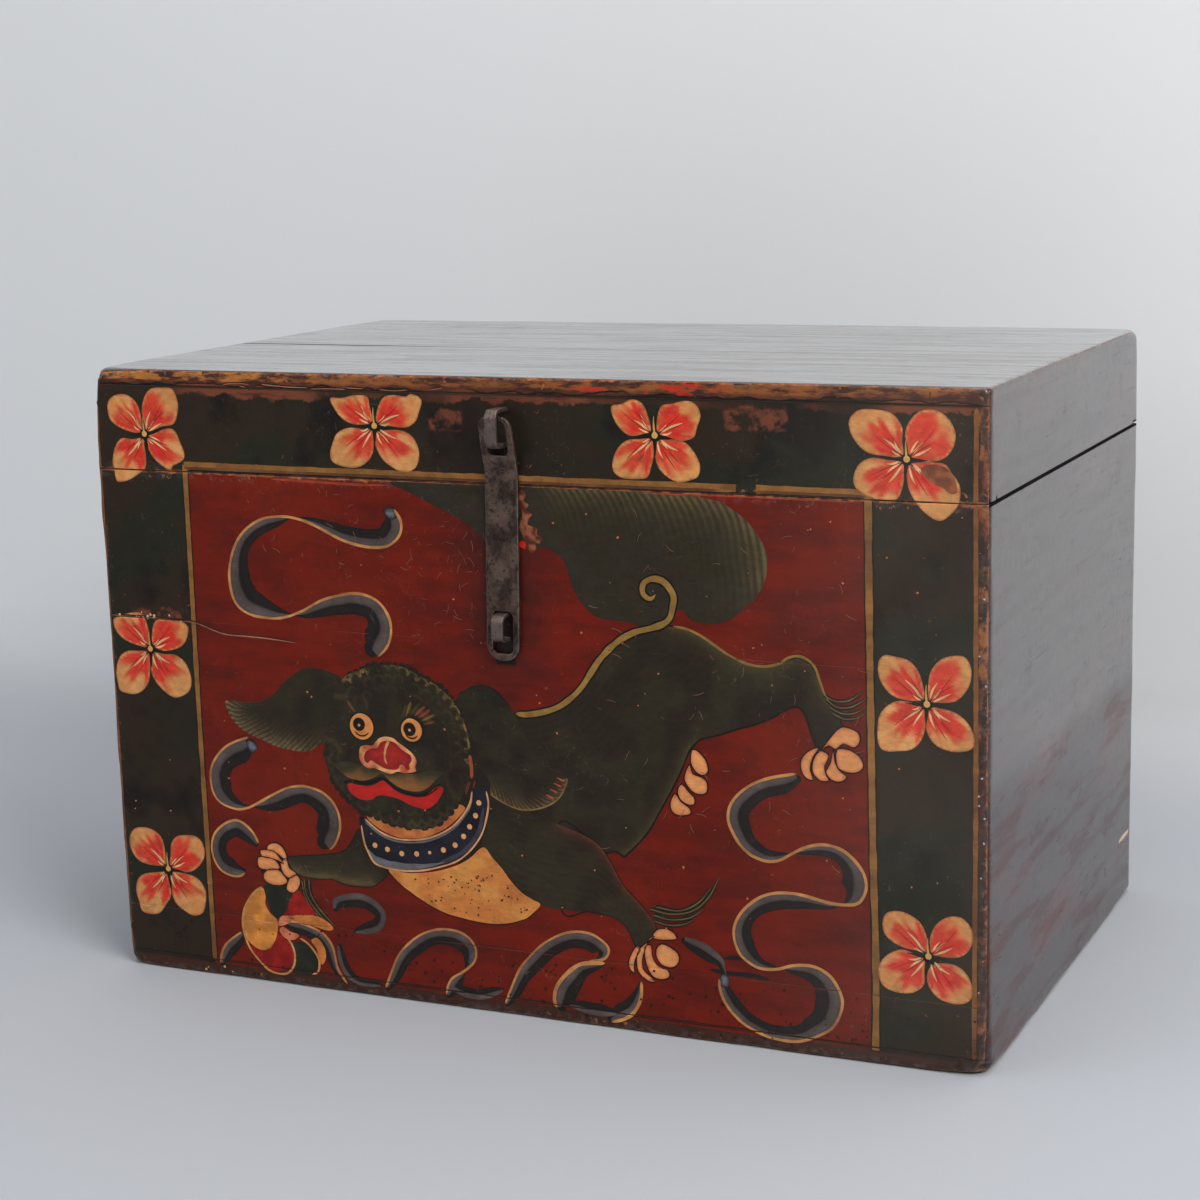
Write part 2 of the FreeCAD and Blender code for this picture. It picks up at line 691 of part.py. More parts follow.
def slab(label, y, z, tools, outerSide, upper):
    """A board of the top or the bottom. Its outer corners are rounded, and the top's upper edge."""
    body = blockBody(label, *fullWidth, *y, *z)
    if outerSide:
        roundEdges(body, size("cornerRound"),
                   lambda shape: blockEdges(shape, alongZ, y=outerSide), label + "_corners")
    if upper:
        roundEdges(body, size("topRound"),
                   lambda shape: blockEdges(shape, alongX, y=outerSide, z="high"), label + "_arris")
    return cutFrom(body, label, tools)


topBoardTools = [topPegHoles, topDowelHoles]
slab("lid_top_board_front", (front, topSeam), (railTop, top), topBoardTools, "low", True)
slab("lid_top_board_rear", (topSeam, back), (railTop, top), topBoardTools, "high", True)
outerSides = {"bottom_board_front": "low", "bottom_board_middle": None, "bottom_board_rear": "high"}
for label, nearSide, farSide in bottomBoards:
    slab(label, (nearSide, farSide), ("0", wallFoot), [bottomNailHoles], outerSides[label], False)

# Every feature and every sub-part is checked before anything is written
doc.recompute()
failed = [thing.Name for thing in doc.Objects if {"Invalid", "Error"} & set(thing.State)]
if failed:
    raise RuntimeError(f"features failed: {failed}")
for piece in finished:
    if piece.Shape.isNull() or not piece.Shape.isValid():
        raise RuntimeError(f"{piece.Label} has no valid shape")
for piece in finished:
    piece.Shape.exportStep(f"parts/{piece.Label}.step")
    bound = piece.Shape.BoundBox
    print(f"{piece.Label}: {len(piece.Shape.Solids)} solids, {piece.Shape.Volume / 1000:.1f} cm3, "
          f"x {bound.XMin:.1f} to {bound.XMax:.1f}, y {bound.YMin:.1f} to {bound.YMax:.1f}, "
          f"z {bound.ZMin:.1f} to {bound.ZMax:.1f}")
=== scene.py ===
import math
import bmesh
import bpy
import numpy as np
from mathutils import Matrix, Vector
from mathutils.geometry import delaunay_2d_cdt


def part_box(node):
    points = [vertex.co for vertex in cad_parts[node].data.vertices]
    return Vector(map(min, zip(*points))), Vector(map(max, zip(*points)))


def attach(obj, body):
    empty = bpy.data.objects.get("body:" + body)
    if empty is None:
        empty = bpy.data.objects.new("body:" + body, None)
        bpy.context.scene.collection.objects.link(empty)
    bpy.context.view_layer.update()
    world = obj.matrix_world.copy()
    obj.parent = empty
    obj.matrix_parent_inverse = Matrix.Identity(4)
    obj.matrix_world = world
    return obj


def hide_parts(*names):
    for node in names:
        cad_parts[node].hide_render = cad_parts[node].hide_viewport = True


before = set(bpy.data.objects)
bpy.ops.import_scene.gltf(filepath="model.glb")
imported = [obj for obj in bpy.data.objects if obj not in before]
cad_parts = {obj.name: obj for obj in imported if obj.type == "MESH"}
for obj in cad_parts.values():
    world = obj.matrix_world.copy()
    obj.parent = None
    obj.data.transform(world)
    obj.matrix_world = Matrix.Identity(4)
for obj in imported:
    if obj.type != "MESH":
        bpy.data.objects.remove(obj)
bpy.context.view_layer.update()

mm = 0.001


# small helpers

desk = {"tree": None}  # the node tree that is being built


def linear(red, green, blue):
    steps = [channel / 255 for channel in (red, green, blue)]
    low = 0.04045
    return tuple(s / 12.92 if s <= low else ((s + 0.055) / 1.055) ** 2.4 for s in steps) + (1.0,)


def fill(node, inputs):  # links or sets a node's inputs, screen colours too
    for key, value in inputs.items():
        socket = node.inputs[key]
        if isinstance(value, bpy.types.NodeSocket):
            desk["tree"].links.new(value, socket)
        else:
            socket.default_value = linear(*value) if socket.type == "RGBA" and len(value) == 3 else value


def put(kind, inputs=None, **settings):  # adds a node to the tree on the desk
    made = desk["tree"].nodes.new(kind)
    for key, value in settings.items():
        setattr(made, key, value)
    fill(made, inputs or {})
    return made


def calc(operation, *values):
    return put("ShaderNodeMath", dict(enumerate(values)), operation=operation).outputs[0]


def times(first, *others):
    for other in others:
        first = calc("MULTIPLY", first, other)
    return first


def plus(first, second):
    return calc("ADD", first, second)


def minus(first, second):
    return calc("SUBTRACT", first, second)


def scaled(value, factor, offset):  # value times factor plus offset
    return calc("MULTIPLY_ADD", value, factor, offset)


def absolute(value):
    return calc("ABSOLUTE", value)


def blend(share, first, second, mode="MIX"):
    made = put("ShaderNodeMix", {0: share, 6: first, 7: second}, data_type="RGBA", blend_type=mode)
    return made.outputs[2]


def ramp(value, low, high, start=0.0, end=1.0):  # soft step from start to end
    inputs = {"Value": value, "From Min": low, "From Max": high, "To Min": start, "To Max": end}
    return put("ShaderNodeMapRange", inputs, interpolation_type="SMOOTHSTEP").outputs["Result"]


def grain(place, scale, detail=3.0, roughness=0.55, distortion=0.0):
    return put("ShaderNodeTexNoise", {
        "Vector": place, "Scale": scale, "Detail": detail, "Roughness": roughness, "Distortion": distortion,
    }).outputs["Fac"]


def stretched(place, scale, shift=(0, 0, 0)):
    inputs = {"Vector": place, "Scale": scale, "Location": shift}
    return put("ShaderNodeMapping", inputs).outputs["Vector"]


def attribute(name, output="Fac"):
    return put("ShaderNodeAttribute", attribute_name=name).outputs[output]


def split(place):  # x, y and z
    return put("ShaderNodeSeparateXYZ", {0: place}).outputs


def grey(value):
    return put("ShaderNodeCombineColor", {"Red": value, "Green": value, "Blue": value}).outputs[0]


def farFrom(place, scale, shift):  # distance in stretched space
    moved = stretched(place, scale, shift)
    return put("ShaderNodeVectorMath", {0: moved}, operation="LENGTH").outputs["Value"]


def openTree(name, kind, inputs, outputs):  # each socket is a label, a kind and perhaps a value
    tree = desk["tree"] = bpy.data.node_groups.new(name, kind)
    for way, sockets in (("INPUT", inputs), ("OUTPUT", outputs)):
        for label, socketKind, *value in sockets:
            socket = tree.interface.new_socket(label, in_out=way, socket_type="NodeSocket" + socketKind)
            if value:
                socket.default_value = value[0]
    return put("NodeGroupInput").outputs


def closeTree(results):
    put("NodeGroupOutput", results)
    return desk["tree"]


def addObject(name, data):
    made = bpy.data.objects.new(name, data)
    bpy.context.scene.collection.objects.link(made)
    return made


def flatMesh(name, points, edges=(), faces=()):  # points in x and z
    mesh = bpy.data.meshes.new(name)
    mesh.from_pydata([(x, 0, z) for x, z in points], edges, faces)
    return mesh


def ringArea(ring):  # more than zero where the ring runs against the clock
    return sum(a[0] * b[1] - b[0] * a[1] for a, b in zip(ring, ring[1:] + ring[:1]))


def seat(piece, body, slotName, *solids):  # what a piece moves with, its finish's slot name, which is not used, and the solid it stands for
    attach(piece, body)
    if solids:
        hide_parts(*solids)


def solidCopy(node, ending):  # a solid's mesh with its doubles merged
    source = bmesh.new()
    source.from_mesh(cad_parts[node].data)
    bmesh.ops.remove_doubles(source, verts=source.verts, dist=1e-6)
    mesh = bpy.data.meshes.new(node + ending)
    source.to_mesh(mesh)
    source.free()
    return mesh


def softNoise(across, along, seed):  # random hills between -1 and 1, about one to each unit
    side = 64
    lattice = np.random.default_rng(seed).uniform(-1, 1, (side, side))
    rowLow = np.floor(across).astype(int)
    colLow = np.floor(along).astype(int)
    u = across - rowLow
    v = along - colLow
    u = u * u * (3 - 2 * u)
    v = v * v * (3 - 2 * v)

    def at(row, col):
        return lattice[(rowLow + row) % side, (colLow + col) % side]

    near = at(0, 0) * (1 - v) + at(0, 1) * v
    far = at(1, 0) * (1 - v) + at(1, 1) * v
    return near * (1 - u) + far * u


# where the trunk is, from the model's parts


def corners(*nodes):  # lowest and highest corner of some nodes together, in mm
    boxes = [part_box(node) for node in nodes]
    low = np.min([np.array(box[0]) for box in boxes], axis=0) / mm
    high = np.max([np.array(box[1]) for box in boxes], axis=0) / mm
    return low, high


boxBoards = [
    "front_board_lower", "front_board_middle", "front_board_upper", "back_board_lower", "back_board_upper",
    "left_side_board_lower", "left_side_board_upper", "right_side_board_lower", "right_side_board_upper",
    "bottom_board_front", "bottom_board_middle", "bottom_board_rear",
]
lidBoards = [
    "lid_front_rail", "lid_back_rail", "lid_left_rail", "lid_right_rail", "lid_top_board_front",
    "lid_top_board_rear",
]
trunkLow, trunkHigh = corners(*boxBoards, *lidBoards)
bodySpan = {"box": corners(*boxBoards), "lid": corners(*lidBoards)}
frontPlane = trunkLow[1]
boxRim = bodySpan["box"][1][2]
lidFoot = bodySpan["lid"][0][2]
parting = 0.378  # m, the level where the paint of lid and box parts
frontSeams = [
    corners("bottom_board_front")[1][2], corners("front_board_lower")[1][2],
    corners("front_board_middle")[1][2], corners("lid_front_rail")[1][2],
]

wear = {
    "inset": 0.15,            # mm that every outer face stands behind its true plane
    "waves": 0.22,            # mm of slow hollows over a face
    "boardEdge": 0.9,         # mm, rounding of each board's own edges
    "upright": 4.6,           # mm, rounding of the trunk's upright corners
    "topEdge": 2.8,
    "bottomEdge": 4.5,
    "uneven": 0.38,           # share by which the roundings vary
    "seed": 5,
}

knocks = [  # corners rubbed rounder: which end of x, y and z, extra rounding in mm, reach in mm
    ((1, 1, 1), 5.5, 22.0), ((1, -1, -1), 8.5, 24.0), ((-1, -1, -1), 3.5, 20.0), ((-1, -1, 1), 8.0, 26.0),
    ((-1, 1, 1), 3.0, 18.0), ((1, -1, 1), 1.5, 14.0),
]


# boards


def softStep(low, high, value):
    share = np.clip((value - low) / (high - low), 0, 1)
    return share * share * (3 - 2 * share)


def slowWaves(along, up, seed):  # mm that the worn face lies behind its plane
    hills = softNoise(along / 95, up / 60, seed) * 0.6 + softNoise(along / 31, up / 24, seed + 1) * 0.4
    return wear["inset"] + wear["waves"] * (0.5 + 0.5 * hills)


def seamOpen(x, z):  # how far the paint has cracked open over a front seam, 0 to 1
    middle = frontSeams[2]
    share = 1 - softStep(-272, -252, x) * (1 - 0.25 * softStep(0.2, 0.7, softNoise(x / 40, x * 0, 77)))
    share = np.where(np.abs(z - middle) < 6, share, 1.0)
    return np.where(np.abs(z - frontSeams[1]) < 6, 0.3 + 0.15 * softNoise(x / 30, x * 0, 78), share)


def edgeRadius(along, base, seed):
    level = along * 0 + seed
    bumps = softNoise(along / 34, level, seed) * 0.7 + softNoise(along / 9, level, seed + 3) * 0.3
    return base * (1 + wear["uneven"] * bumps)


def easeEdge(points, axes, planes, centre, radius):
    reach = []
    inward = []
    for axis, plane in zip(axes, planes):
        side = np.sign(centre[axis] - plane)
        inward.append(side)
        reach.append(radius - (points[:, axis] - plane) * side)
    near = (reach[0] > 0) & (reach[1] > 0)
    shrink = np.maximum(reach[0], reach[1])[near] / np.hypot(reach[0], reach[1])[near]
    for axis, plane, side, far in zip(axes, planes, inward, reach):
        points[near, axis] = plane + side * (radius[near] - far[near] * shrink)


def knockGain(points):  # extra rounding near the corners that took the knocks
    gain = np.zeros(len(points))
    middle = (trunkLow + trunkHigh) / 2
    half = (trunkHigh - trunkLow) / 2
    for ends, extra, reach in knocks:
        corner = middle + half * np.array(ends)
        away = np.linalg.norm(points - corner, axis=1)
        gain = np.maximum(gain, extra * np.exp(-((away / reach) ** 2)))
    return gain


def boardLines(low, high, coarse):  # grid lines along one side, close together near its ends
    near = [0, 0.35, 0.8, 1.4, 2.2, 3.4, 5, 7.5, 11]
    span = high - low
    ends = [step for step in near if step < span * 0.45]
    count = int(round((span - 2 * ends[-1]) / coarse)) + 1
    inner = np.linspace(low + ends[-1], high - ends[-1], max(2, count))
    return sorted(set([low + e for e in ends] + list(inner) + [high - e for e in ends]))


def gridBox(xs, ys, zs):  # a closed box of small squares, faces outward
    index = {}
    verts = []
    faces = []

    def corner(*key):
        if key not in index:
            index[key] = len(verts)
            verts.append((xs[key[0]], ys[key[1]], zs[key[2]]))
        return index[key]

    sizes = [len(xs) - 1, len(ys) - 1, len(zs) - 1]
    for axis in range(3):
        a, b = (axis + 1) % 3, (axis + 2) % 3
        for i in range(sizes[a]):
            for j in range(sizes[b]):
                for end in (0, sizes[axis]):
                    ring = []
                    for di, dj in ((0, 0), (1, 0), (1, 1), (0, 1)):
                        key = [0, 0, 0]
                        key[axis] = end
                        key[a] = i + di
                        key[b] = j + dj
                        ring.append(corner(*key))
                    faces.append(ring if end else ring[::-1])
    return np.array(verts, float), faces


def secondLeast(distances):
    return np.sort(distances, axis=1)[:, 1]


def planeDistances(points, low, high):
    return np.concatenate([np.abs(points - low), np.abs(high - points)], axis=1)


def rimLevel(z):  # at the parting of lid and box
    return min(abs(z - boxRim), abs(z - lidFoot)) < 1e-3


def roundEdges(points, low, high, seed):  # eases the twelve edges of a board
    start = points.copy()
    centre = (low + high) / 2
    for long in range(3):
        axes = [axis for axis in range(3) if axis != long]
        for first in (low, high):
            for second in (low, high):
                planes = (first[axes[0]], second[axes[1]])
                onFront = axes == [1, 2] and abs(planes[0] - frontPlane) < 1e-3
                radius = edgeRadius(start[:, long], wear["boardEdge"], 7 if onFront else seed + long)
                if onFront:
                    radius = radius * seamOpen(start[:, 0], np.full(len(start), planes[1]))
                ends = dict(zip(axes, planes))
                if 0 in ends and abs(abs(ends[0]) - trunkHigh[0]) < 1e-3 and not rimLevel(ends.get(2, 0)):
                    radius = radius * 0.08
                elif rimLevel(ends.get(2, 0)) and not onFront:
                    radius = radius * 0.4
                elif 2 in ends and abs(ends[2] - trunkHigh[2]) < 1e-3 and 1 in ends:
                    radius = radius * (0.4 + 0.6 * softStep(-100, -170, start[:, 0]))
                easeEdge(points, axes, planes, centre, radius)


def roundTrunk(points, start):  # eases the trunk's own outer edges
    middle = (trunkLow + trunkHigh) / 2
    gain = knockGain(start)
    for first in (trunkLow, trunkHigh):  # upright corners
        for second in (trunkLow, trunkHigh):
            radius = edgeRadius(start[:, 2], wear["upright"], 11) + gain
            easeEdge(points, (0, 1), (first[0], second[1]), middle, radius)
    for level, base in ((trunkLow, wear["bottomEdge"]), (trunkHigh, wear["topEdge"])):
        for axis in (0, 1):
            for side in (trunkLow, trunkHigh):
                radius = edgeRadius(start[:, 1 - axis], base, 17 + axis) + gain
                easeEdge(points, (axis, 2), (side[axis], level[2]), middle, radius)


def hollow(start, mask, number):  # how far the worn face lies behind an outer plane, and which way that is
    across, up = [axis for axis in range(3) if axis != number % 3]
    return slowWaves(start[mask][:, across], start[mask][:, up], 20 + number), 1 if number < 3 else -1


def wornBoard(node, body, coarse, inside, slotName):
    low, high = corners(node)
    points, faces = gridBox(*[boardLines(low[axis], high[axis], coarse) for axis in range(3)])
    edge = secondLeast(planeDistances(points, low, high))
    arris = secondLeast(planeDistances(points, *bodySpan[body]))
    onPlane = [np.abs(points[:, n % 3] - plane) < 1e-3 for n, plane in enumerate([*trunkLow, *trunkHigh])]
    sides = [next((n for n, mask in enumerate(onPlane) if all(mask[v] for v in face)), 6) for face in faces]
    x, _, z = points[onPlane[1]].T
    hidden = 1 - seamOpen(x, z)
    edge[onPlane[1]] += np.where(np.abs(z - frontSeams[1]) < 6, 1.6 * hidden, 30 * hidden)
    start = points.copy()
    roundEdges(points, low, high, wear["seed"] + sum(map(ord, node)) % 40)
    roundTrunk(points, start)
    for number, mask in enumerate(onPlane):
        away, way = hollow(start, mask, number)
        points[mask, number % 3] += way * away
    mesh = bpy.data.meshes.new(node + "_worn")
    mesh.from_pydata([tuple(point) for point in points * mm], [], faces)
    for name, values in (("edge", edge), ("arris", arris)):
        mesh.attributes.new(name, "FLOAT", "POINT").data.foreach_set("value", values.astype(np.float32))
    used = sorted(set(sides))
    for side in used:
        mesh.materials.append(inside if side == 6 else outerFinish[side])
    mesh.polygons.foreach_set("material_index", [used.index(side) for side in sides])
    mesh.polygons.foreach_set("use_smooth", [True] * len(faces))
    mesh.set_sharp_from_angle(angle=math.radians(50))
    seat(addObject(node + "_worn", mesh), body, slotName, node)


def frontFace(x, z):  # y of the worn front, in mm, for the painting that lies on it
    away = slowWaves(x, z, 21)
    for seam in frontSeams + [boxRim, lidFoot, trunkHigh[2]]:
        radius = edgeRadius(x, wear["boardEdge"], 7) * seamOpen(x, x * 0 + seam)
        reach = np.clip(radius - np.abs(z - seam), 0, radius)
        away = away + radius - np.sqrt(radius ** 2 - reach ** 2)
    start = np.stack([x, x * 0 + frontPlane, z], axis=1)
    radius = edgeRadius(z, wear["upright"], 11) + knockGain(start)
    reach = np.clip(radius - (trunkHigh[0] - np.abs(x)), 0, radius)
    away = away + radius - np.sqrt(radius ** 2 - reach ** 2)
    return frontPlane + away


# finishes


def buildAgeing():  # wear, chips, hair scratches and dirt that every finish shares
    given = openTree("ageing", "ShaderNodeTree", [
        ("Place", "Vector"), ("Colour", "Color", (0.2, 0.1, 0.1, 1)),
        ("Under Colour", "Color", (0.3, 0.1, 0.05, 1)), ("Edge", "Float", 99), ("Edge Wear", "Float", 3),
        ("Chips", "Float", 0.3), ("Scratches", "Float", 0.3), ("Dirt", "Float", 0.3),
        ("Gloss Roughness", "Float", 0.4),
    ], [("Colour", "Color"), ("Roughness", "Float"), ("Height", "Float")])
    place = given["Place"]
    fine = grain(place, 150, 4, 0.6)
    shade = scaled(grain(place, 13, 4), 0.5, scaled(fine, 0.35, 0.6))
    toned = blend(1, given["Colour"], grey(shade), "MULTIPLY")
    dirtMask = times(ramp(grain(place, 38, 6, 0.7), 0.52, 0.72), given["Dirt"])
    dirty = blend(dirtMask, toned, (30, 22, 18))
    ragged = scaled(grain(place, 95, 5, 0.7), 2.6, -0.75)
    worn = ramp(minus(given["Edge"], times(given["Edge Wear"], ragged)), -0.5, 0.35, 1, 0)
    flakes = plus(grain(place, 270, 3, 0.6, 0.6), ramp(given["Edge"], 0, 14, 0.09, 0))
    flakeField = plus(ramp(grain(place, 24, 2), 0.42, 0.62), ramp(given["Edge"], 3, 12, 1, 0))
    chipped = times(ramp(flakes, 0.685, 0.71), given["Chips"], flakeField)
    bare = calc("MAXIMUM", worn, calc("MINIMUM", chipped, 1))
    rubbed = blend(bare, dirty, blend(ramp(fine, 0.35, 0.65), given["Under Colour"], (70, 40, 26)))
    hairs = absolute(minus(grain(place, 46, 2, 0.5, 1.6), 0.5))
    hairs = times(ramp(hairs, 0.0015, 0.0052, 1, 0), ramp(grain(place, 210, 2), 0.47, 0.57))
    hairs = times(hairs, times(ramp(grain(place, 17, 2), 0.47, 0.6), given["Scratches"]))
    scratched = blend(hairs, rubbed, (176, 150, 132))
    rough = scaled(fine, 0.22, minus(given["Gloss Roughness"], 0.11))
    rough = plus(rough, times(calc("MAXIMUM", bare, dirtMask), 0.28))
    height = scaled(bare, -0.5, times(fine, 0.35))
    height = plus(height, scaled(grain(place, 620, 2), 0.12, times(hairs, -0.3)))
    return closeTree({"Colour": scratched, "Roughness": rough, "Height": height})


def buildStreaks():  # long fibres and streaks along one way of the wood
    given = openTree("streaks", "ShaderNodeTree", [
        ("Place", "Vector"), ("Light", "Color", (0.3, 0.2, 0.1, 1)),
        ("Dark", "Color", (0.1, 0.05, 0.03, 1)), ("Strength", "Float", 1),
    ], [("Colour", "Color"), ("Height", "Float")])
    wide = grain(given["Place"], 16, 5, 0.6, 0.4)
    thin = grain(given["Place"], 120, 4, 0.6)
    share = times(ramp(scaled(thin, 0.45, times(wide, 0.6)), 0.36, 0.68), given["Strength"])
    toned = blend(share, given["Dark"], given["Light"])
    return closeTree({"Colour": toned, "Height": minus(thin, times(wide, 0.3))})


ageing = buildAgeing()
streaks = buildStreaks()


def newMaterial(name):
    made = bpy.data.materials.new(name)
    made.use_nodes = True
    desk["tree"] = made.node_tree
    made.node_tree.nodes.clear()
    shader = put("ShaderNodeBsdfPrincipled")
    put("ShaderNodeOutputMaterial", {"Surface": shader.outputs[0]})
    return made, shader, put("ShaderNodeTexCoord").outputs["Object"]


def useGroup(which, inputs):
    return put("ShaderNodeGroup", inputs, node_tree=which).outputs


def finishShader(shader, base, rough, height, bump, distance=0.0006):
    bumped = put("ShaderNodeBump", {"Height": height, "Strength": bump, "Distance": distance})
    fill(shader, {"Base Color": base, "Roughness": rough, "Normal": bumped.outputs[0]})


frontLayout = {  # places in m, on the trunk's front
    "field": (-0.2565, 0.2535, 0.0095, 0.3772),  # the red field: left, right, foot, top
    "bandFields": [(-0.262, -0.145), (-0.045, 0.065), (0.262, 0.325)],  # bared below the crest
    "spots": [(0.158, 0.200, 0.419, 0.434), (-0.310, -0.259, 0.2675, 0.2765), (-0.058, -0.034, 0.413, 0.427)],
    "crest": 0.4402, "crestLine": 0.4398, "cornerBand": 0.3256, "leftBand": -0.3305,
    "red": (109, 22, 3), "redDark": (89, 18, 4), "redWarm": (119, 30, 6),
    "border": (43, 31, 20), "borderGreen": (32, 34, 22), "borderDark": (23, 18, 13),
    "under": (168, 96, 50), "earth": (62, 35, 26), "ochre": (178, 112, 50),
    "fleck": (186, 44, 26), "bandBrown": (112, 60, 40), "notch": (36, 28, 32),
    "line": (15, 11, 9), "corner": (96, 60, 48), "cornerPit": (46, 36, 36),
    "cornerOchre": (158, 94, 48), "rust": (126, 58, 42), "burnt": (38, 28, 28),
    "stain": (34, 20, 17), "behindStaple": (18, 13, 12), "darkSeam": (16, 12, 11),
    # painted sheen: the pale tone laid over the paint towards the right
    "sheenTone": (150, 144, 134),
}


def sheenedRight(place, base):  # painted sheen: the paint is made paler towards the right, where the lacquer catches more light
    share = times(ramp(split(place)[0], 0.12, 0.3), ramp(grain(place, 14, 3), 0.3, 0.6, 0.05, 0.085))
    return blend(share, base, frontLayout["sheenTone"])


def above(value, line, soft=0.0006):
    return ramp(value, line - soft, line + soft)


def below(value, line, soft=0.0006):
    return ramp(value, line - soft, line + soft, 1, 0)


def within(value, low, high, blur):
    return times(above(value, low, blur), below(value, high, blur))


def distanceTo(name, onBoard):  # mm to the nearest edge, or far from any on a peg
    return attribute(name) if onBoard else 99.0


def fieldPaint(place, x, z):  # the red field inside the dark border
    look = frontLayout
    left, right, foot, top = look["field"]
    inside = times(times(above(x, left), below(x, right)), times(above(z, foot), below(z, top)))
    brushed = grain(stretched(place, (6, 6, 26)), 3, 5, 0.6)
    red = blend(ramp(brushed, 0.38, 0.66), look["red"], look["redDark"])
    red = blend(ramp(grain(place, 9, 3), 0.5, 0.75, 0, 0.7), red, look["redWarm"])
    patches = ramp(grain(stretched(place, (1, 1, 1.6)), 13, 3, 0.5), 0.42, 0.62)
    border = blend(patches, look["border"], look["borderGreen"])
    border = blend(ramp(grain(place, 21, 4), 0.5, 0.7), border, look["borderDark"])
    return blend(below(z, foot), blend(inside, border, red), look["earth"])


def crestPaint(place, x, z, painted):  # brown bared below the lid's top edge, and the worn line along it
    look = frontLayout
    flecks = grain(stretched(place, (28, 60, 110)), 1.6, 5, 0.65)
    bandTop = scaled(grain(place, 62, 4, 0.65), -0.018, 0.442)
    bandTop = scaled(within(x, -0.21, -0.14, 0.02), -0.0025, bandTop)
    bandField = ramp(grain(stretched(place, (1, 1, 0.2)), 11, 2), 0.46, 0.56, 0, 0.5)
    for low, high in look["bandFields"]:
        bandField = calc("MAXIMUM", bandField, within(x, low, high, 0.012))
    band = times(ramp(minus(z, bandTop), -0.001, 0.0012), bandField)
    ragged = scaled(grain(place, 85, 5, 0.7), 0.012, -0.006)
    for low, high, foot, top in look["spots"]:
        spot = times(within(plus(x, ragged), low, high, 0.002), within(plus(z, ragged), foot, top, 0.0015))
        spot = times(spot, ramp(grain(place, 70, 4, 0.65), 0.4, 0.56))
        band = calc("MAXIMUM", band, spot)
    painted = blend(band, painted, blend(ramp(flecks, 0.3, 0.52), look["earth"], look["bandBrown"]))
    wavy = plus(z, scaled(grain(place, 30, 3), 0.008, -0.004))
    ochreShare = times(ramp(flecks, 0.42, 0.58), ramp(x, -0.24, -0.1, 1, 0.4), ramp(z, 0.4412, 0.4434))
    tone = blend(ramp(flecks, 0.36, 0.66), look["earth"], look["bandBrown"])
    tone = blend(ochreShare, tone, look["ochre"])
    redField = times(ramp(grain(place, 26, 2), 0.5, 0.56), within(x, 0.05, 0.15, 0.02))
    tone = blend(times(redField, ramp(flecks, 0.5, 0.56)), tone, look["fleck"])
    painted = blend(above(wavy, look["crest"]), painted, tone)
    notches = ramp(grain(stretched(place, (34, 60, 12)), 2.4, 3), 0.55, 0.6)
    painted = blend(times(notches, ramp(z, 0.4472, 0.4484)), painted, look["notch"])
    line = ramp(absolute(minus(wavy, look["crestLine"])), 0.0003, 0.0009, 0.9, 0)
    return blend(times(line, ramp(grain(place, 17, 3), 0.4, 0.47)), painted, look["line"])


def cornerPaint(place, x, painted):  # the rubbed and burnt bands at both upright edges
    look = frontLayout
    tone = blend(ramp(grain(place, 210, 4, 0.7), 0.42, 0.6), look["corner"], look["cornerPit"])
    raggedX = scaled(grain(place, 55, 6, 0.75), 0.014, minus(x, 0.007))
    tone = blend(ramp(grain(place, 58, 5, 0.7), 0.48, 0.58, 0, 0.75), tone, look["cornerOchre"])
    rusty = ramp(grain(stretched(place, (1, 1, 0.5)), 44, 3, 0.6), 0.5, 0.6, 0, 0.8)
    tone = blend(rusty, tone, look["rust"])
    burnt = ramp(grain(stretched(place, (1, 1, 0.6)), 75, 5, 0.7), 0.47, 0.56, 0.85, 0)
    tone = blend(burnt, tone, look["burnt"])
    painted = blend(above(raggedX, look["cornerBand"]), painted, tone)
    return blend(below(x, look["leftBand"]), painted, blend(0.5, tone, look["earth"]))


def frontPaint(name, onBoard=True):
    look = frontLayout
    made, shader, place = newMaterial(name)
    fill(shader, {"Specular IOR Level": 0.2, "Coat Roughness": 0.16})
    axes = split(place)
    wobble = scaled(grain(place, 60, 3), 0.004, -0.002)
    x = plus(axes[0], wobble)
    z = plus(axes[2], wobble)
    painted = crestPaint(place, x, z, fieldPaint(place, x, z))
    painted = cornerPaint(place, x, painted)
    stain = plus(farFrom(place, (24, 0, 8.5), (0.09, 0, -2.85)), grain(place, 55, 4))
    painted = blend(ramp(stain, 0.75, 1.75, 0.6, 0), painted, look["stain"])
    # painted shade: near black on the board round the padlock staple, where the strap's slot shades it
    low, high = [end * mm for end in corners("padlock_staple")]
    margin = 0.003
    behind = times(within(axes[0], low[0] - margin, high[0] + margin, 0.001),
                   within(axes[2], low[2] - margin, high[2] + margin, 0.001))
    painted = blend(times(behind, 0.9), painted, look["behindStaple"])
    arris = distanceTo("arris", onBoard)
    aged = useGroup(ageing, {
        "Place": place, "Colour": painted, "Under Colour": look["under"], "Edge": arris, "Edge Wear": 2.4,
        "Chips": 0.6, "Scratches": 0.13, "Dirt": 0.35, "Gloss Roughness": 0.46,
    })
    # dark cracks in the paint along the board seams
    darkSeam = ramp(distanceTo("edge", onBoard), 0.3, 1.7, 0.85, 0)
    darkSeamShare = times(darkSeam, ramp(arris, 4, 7))
    # painted sheen towards the right is laid over the paint
    base = sheenedRight(place, blend(darkSeamShare, aged["Colour"], look["darkSeam"]))
    left = ramp(grain(place, 170, 3, 0.6), 0.48, 0.6)  # lacquer left on the corners
    fill(shader, {"Coat Weight": times(ramp(arris, 4, 8, 0.9, 0), left)})
    finishShader(shader, base, aged["Roughness"], aged["Height"], 0.55)
    return made


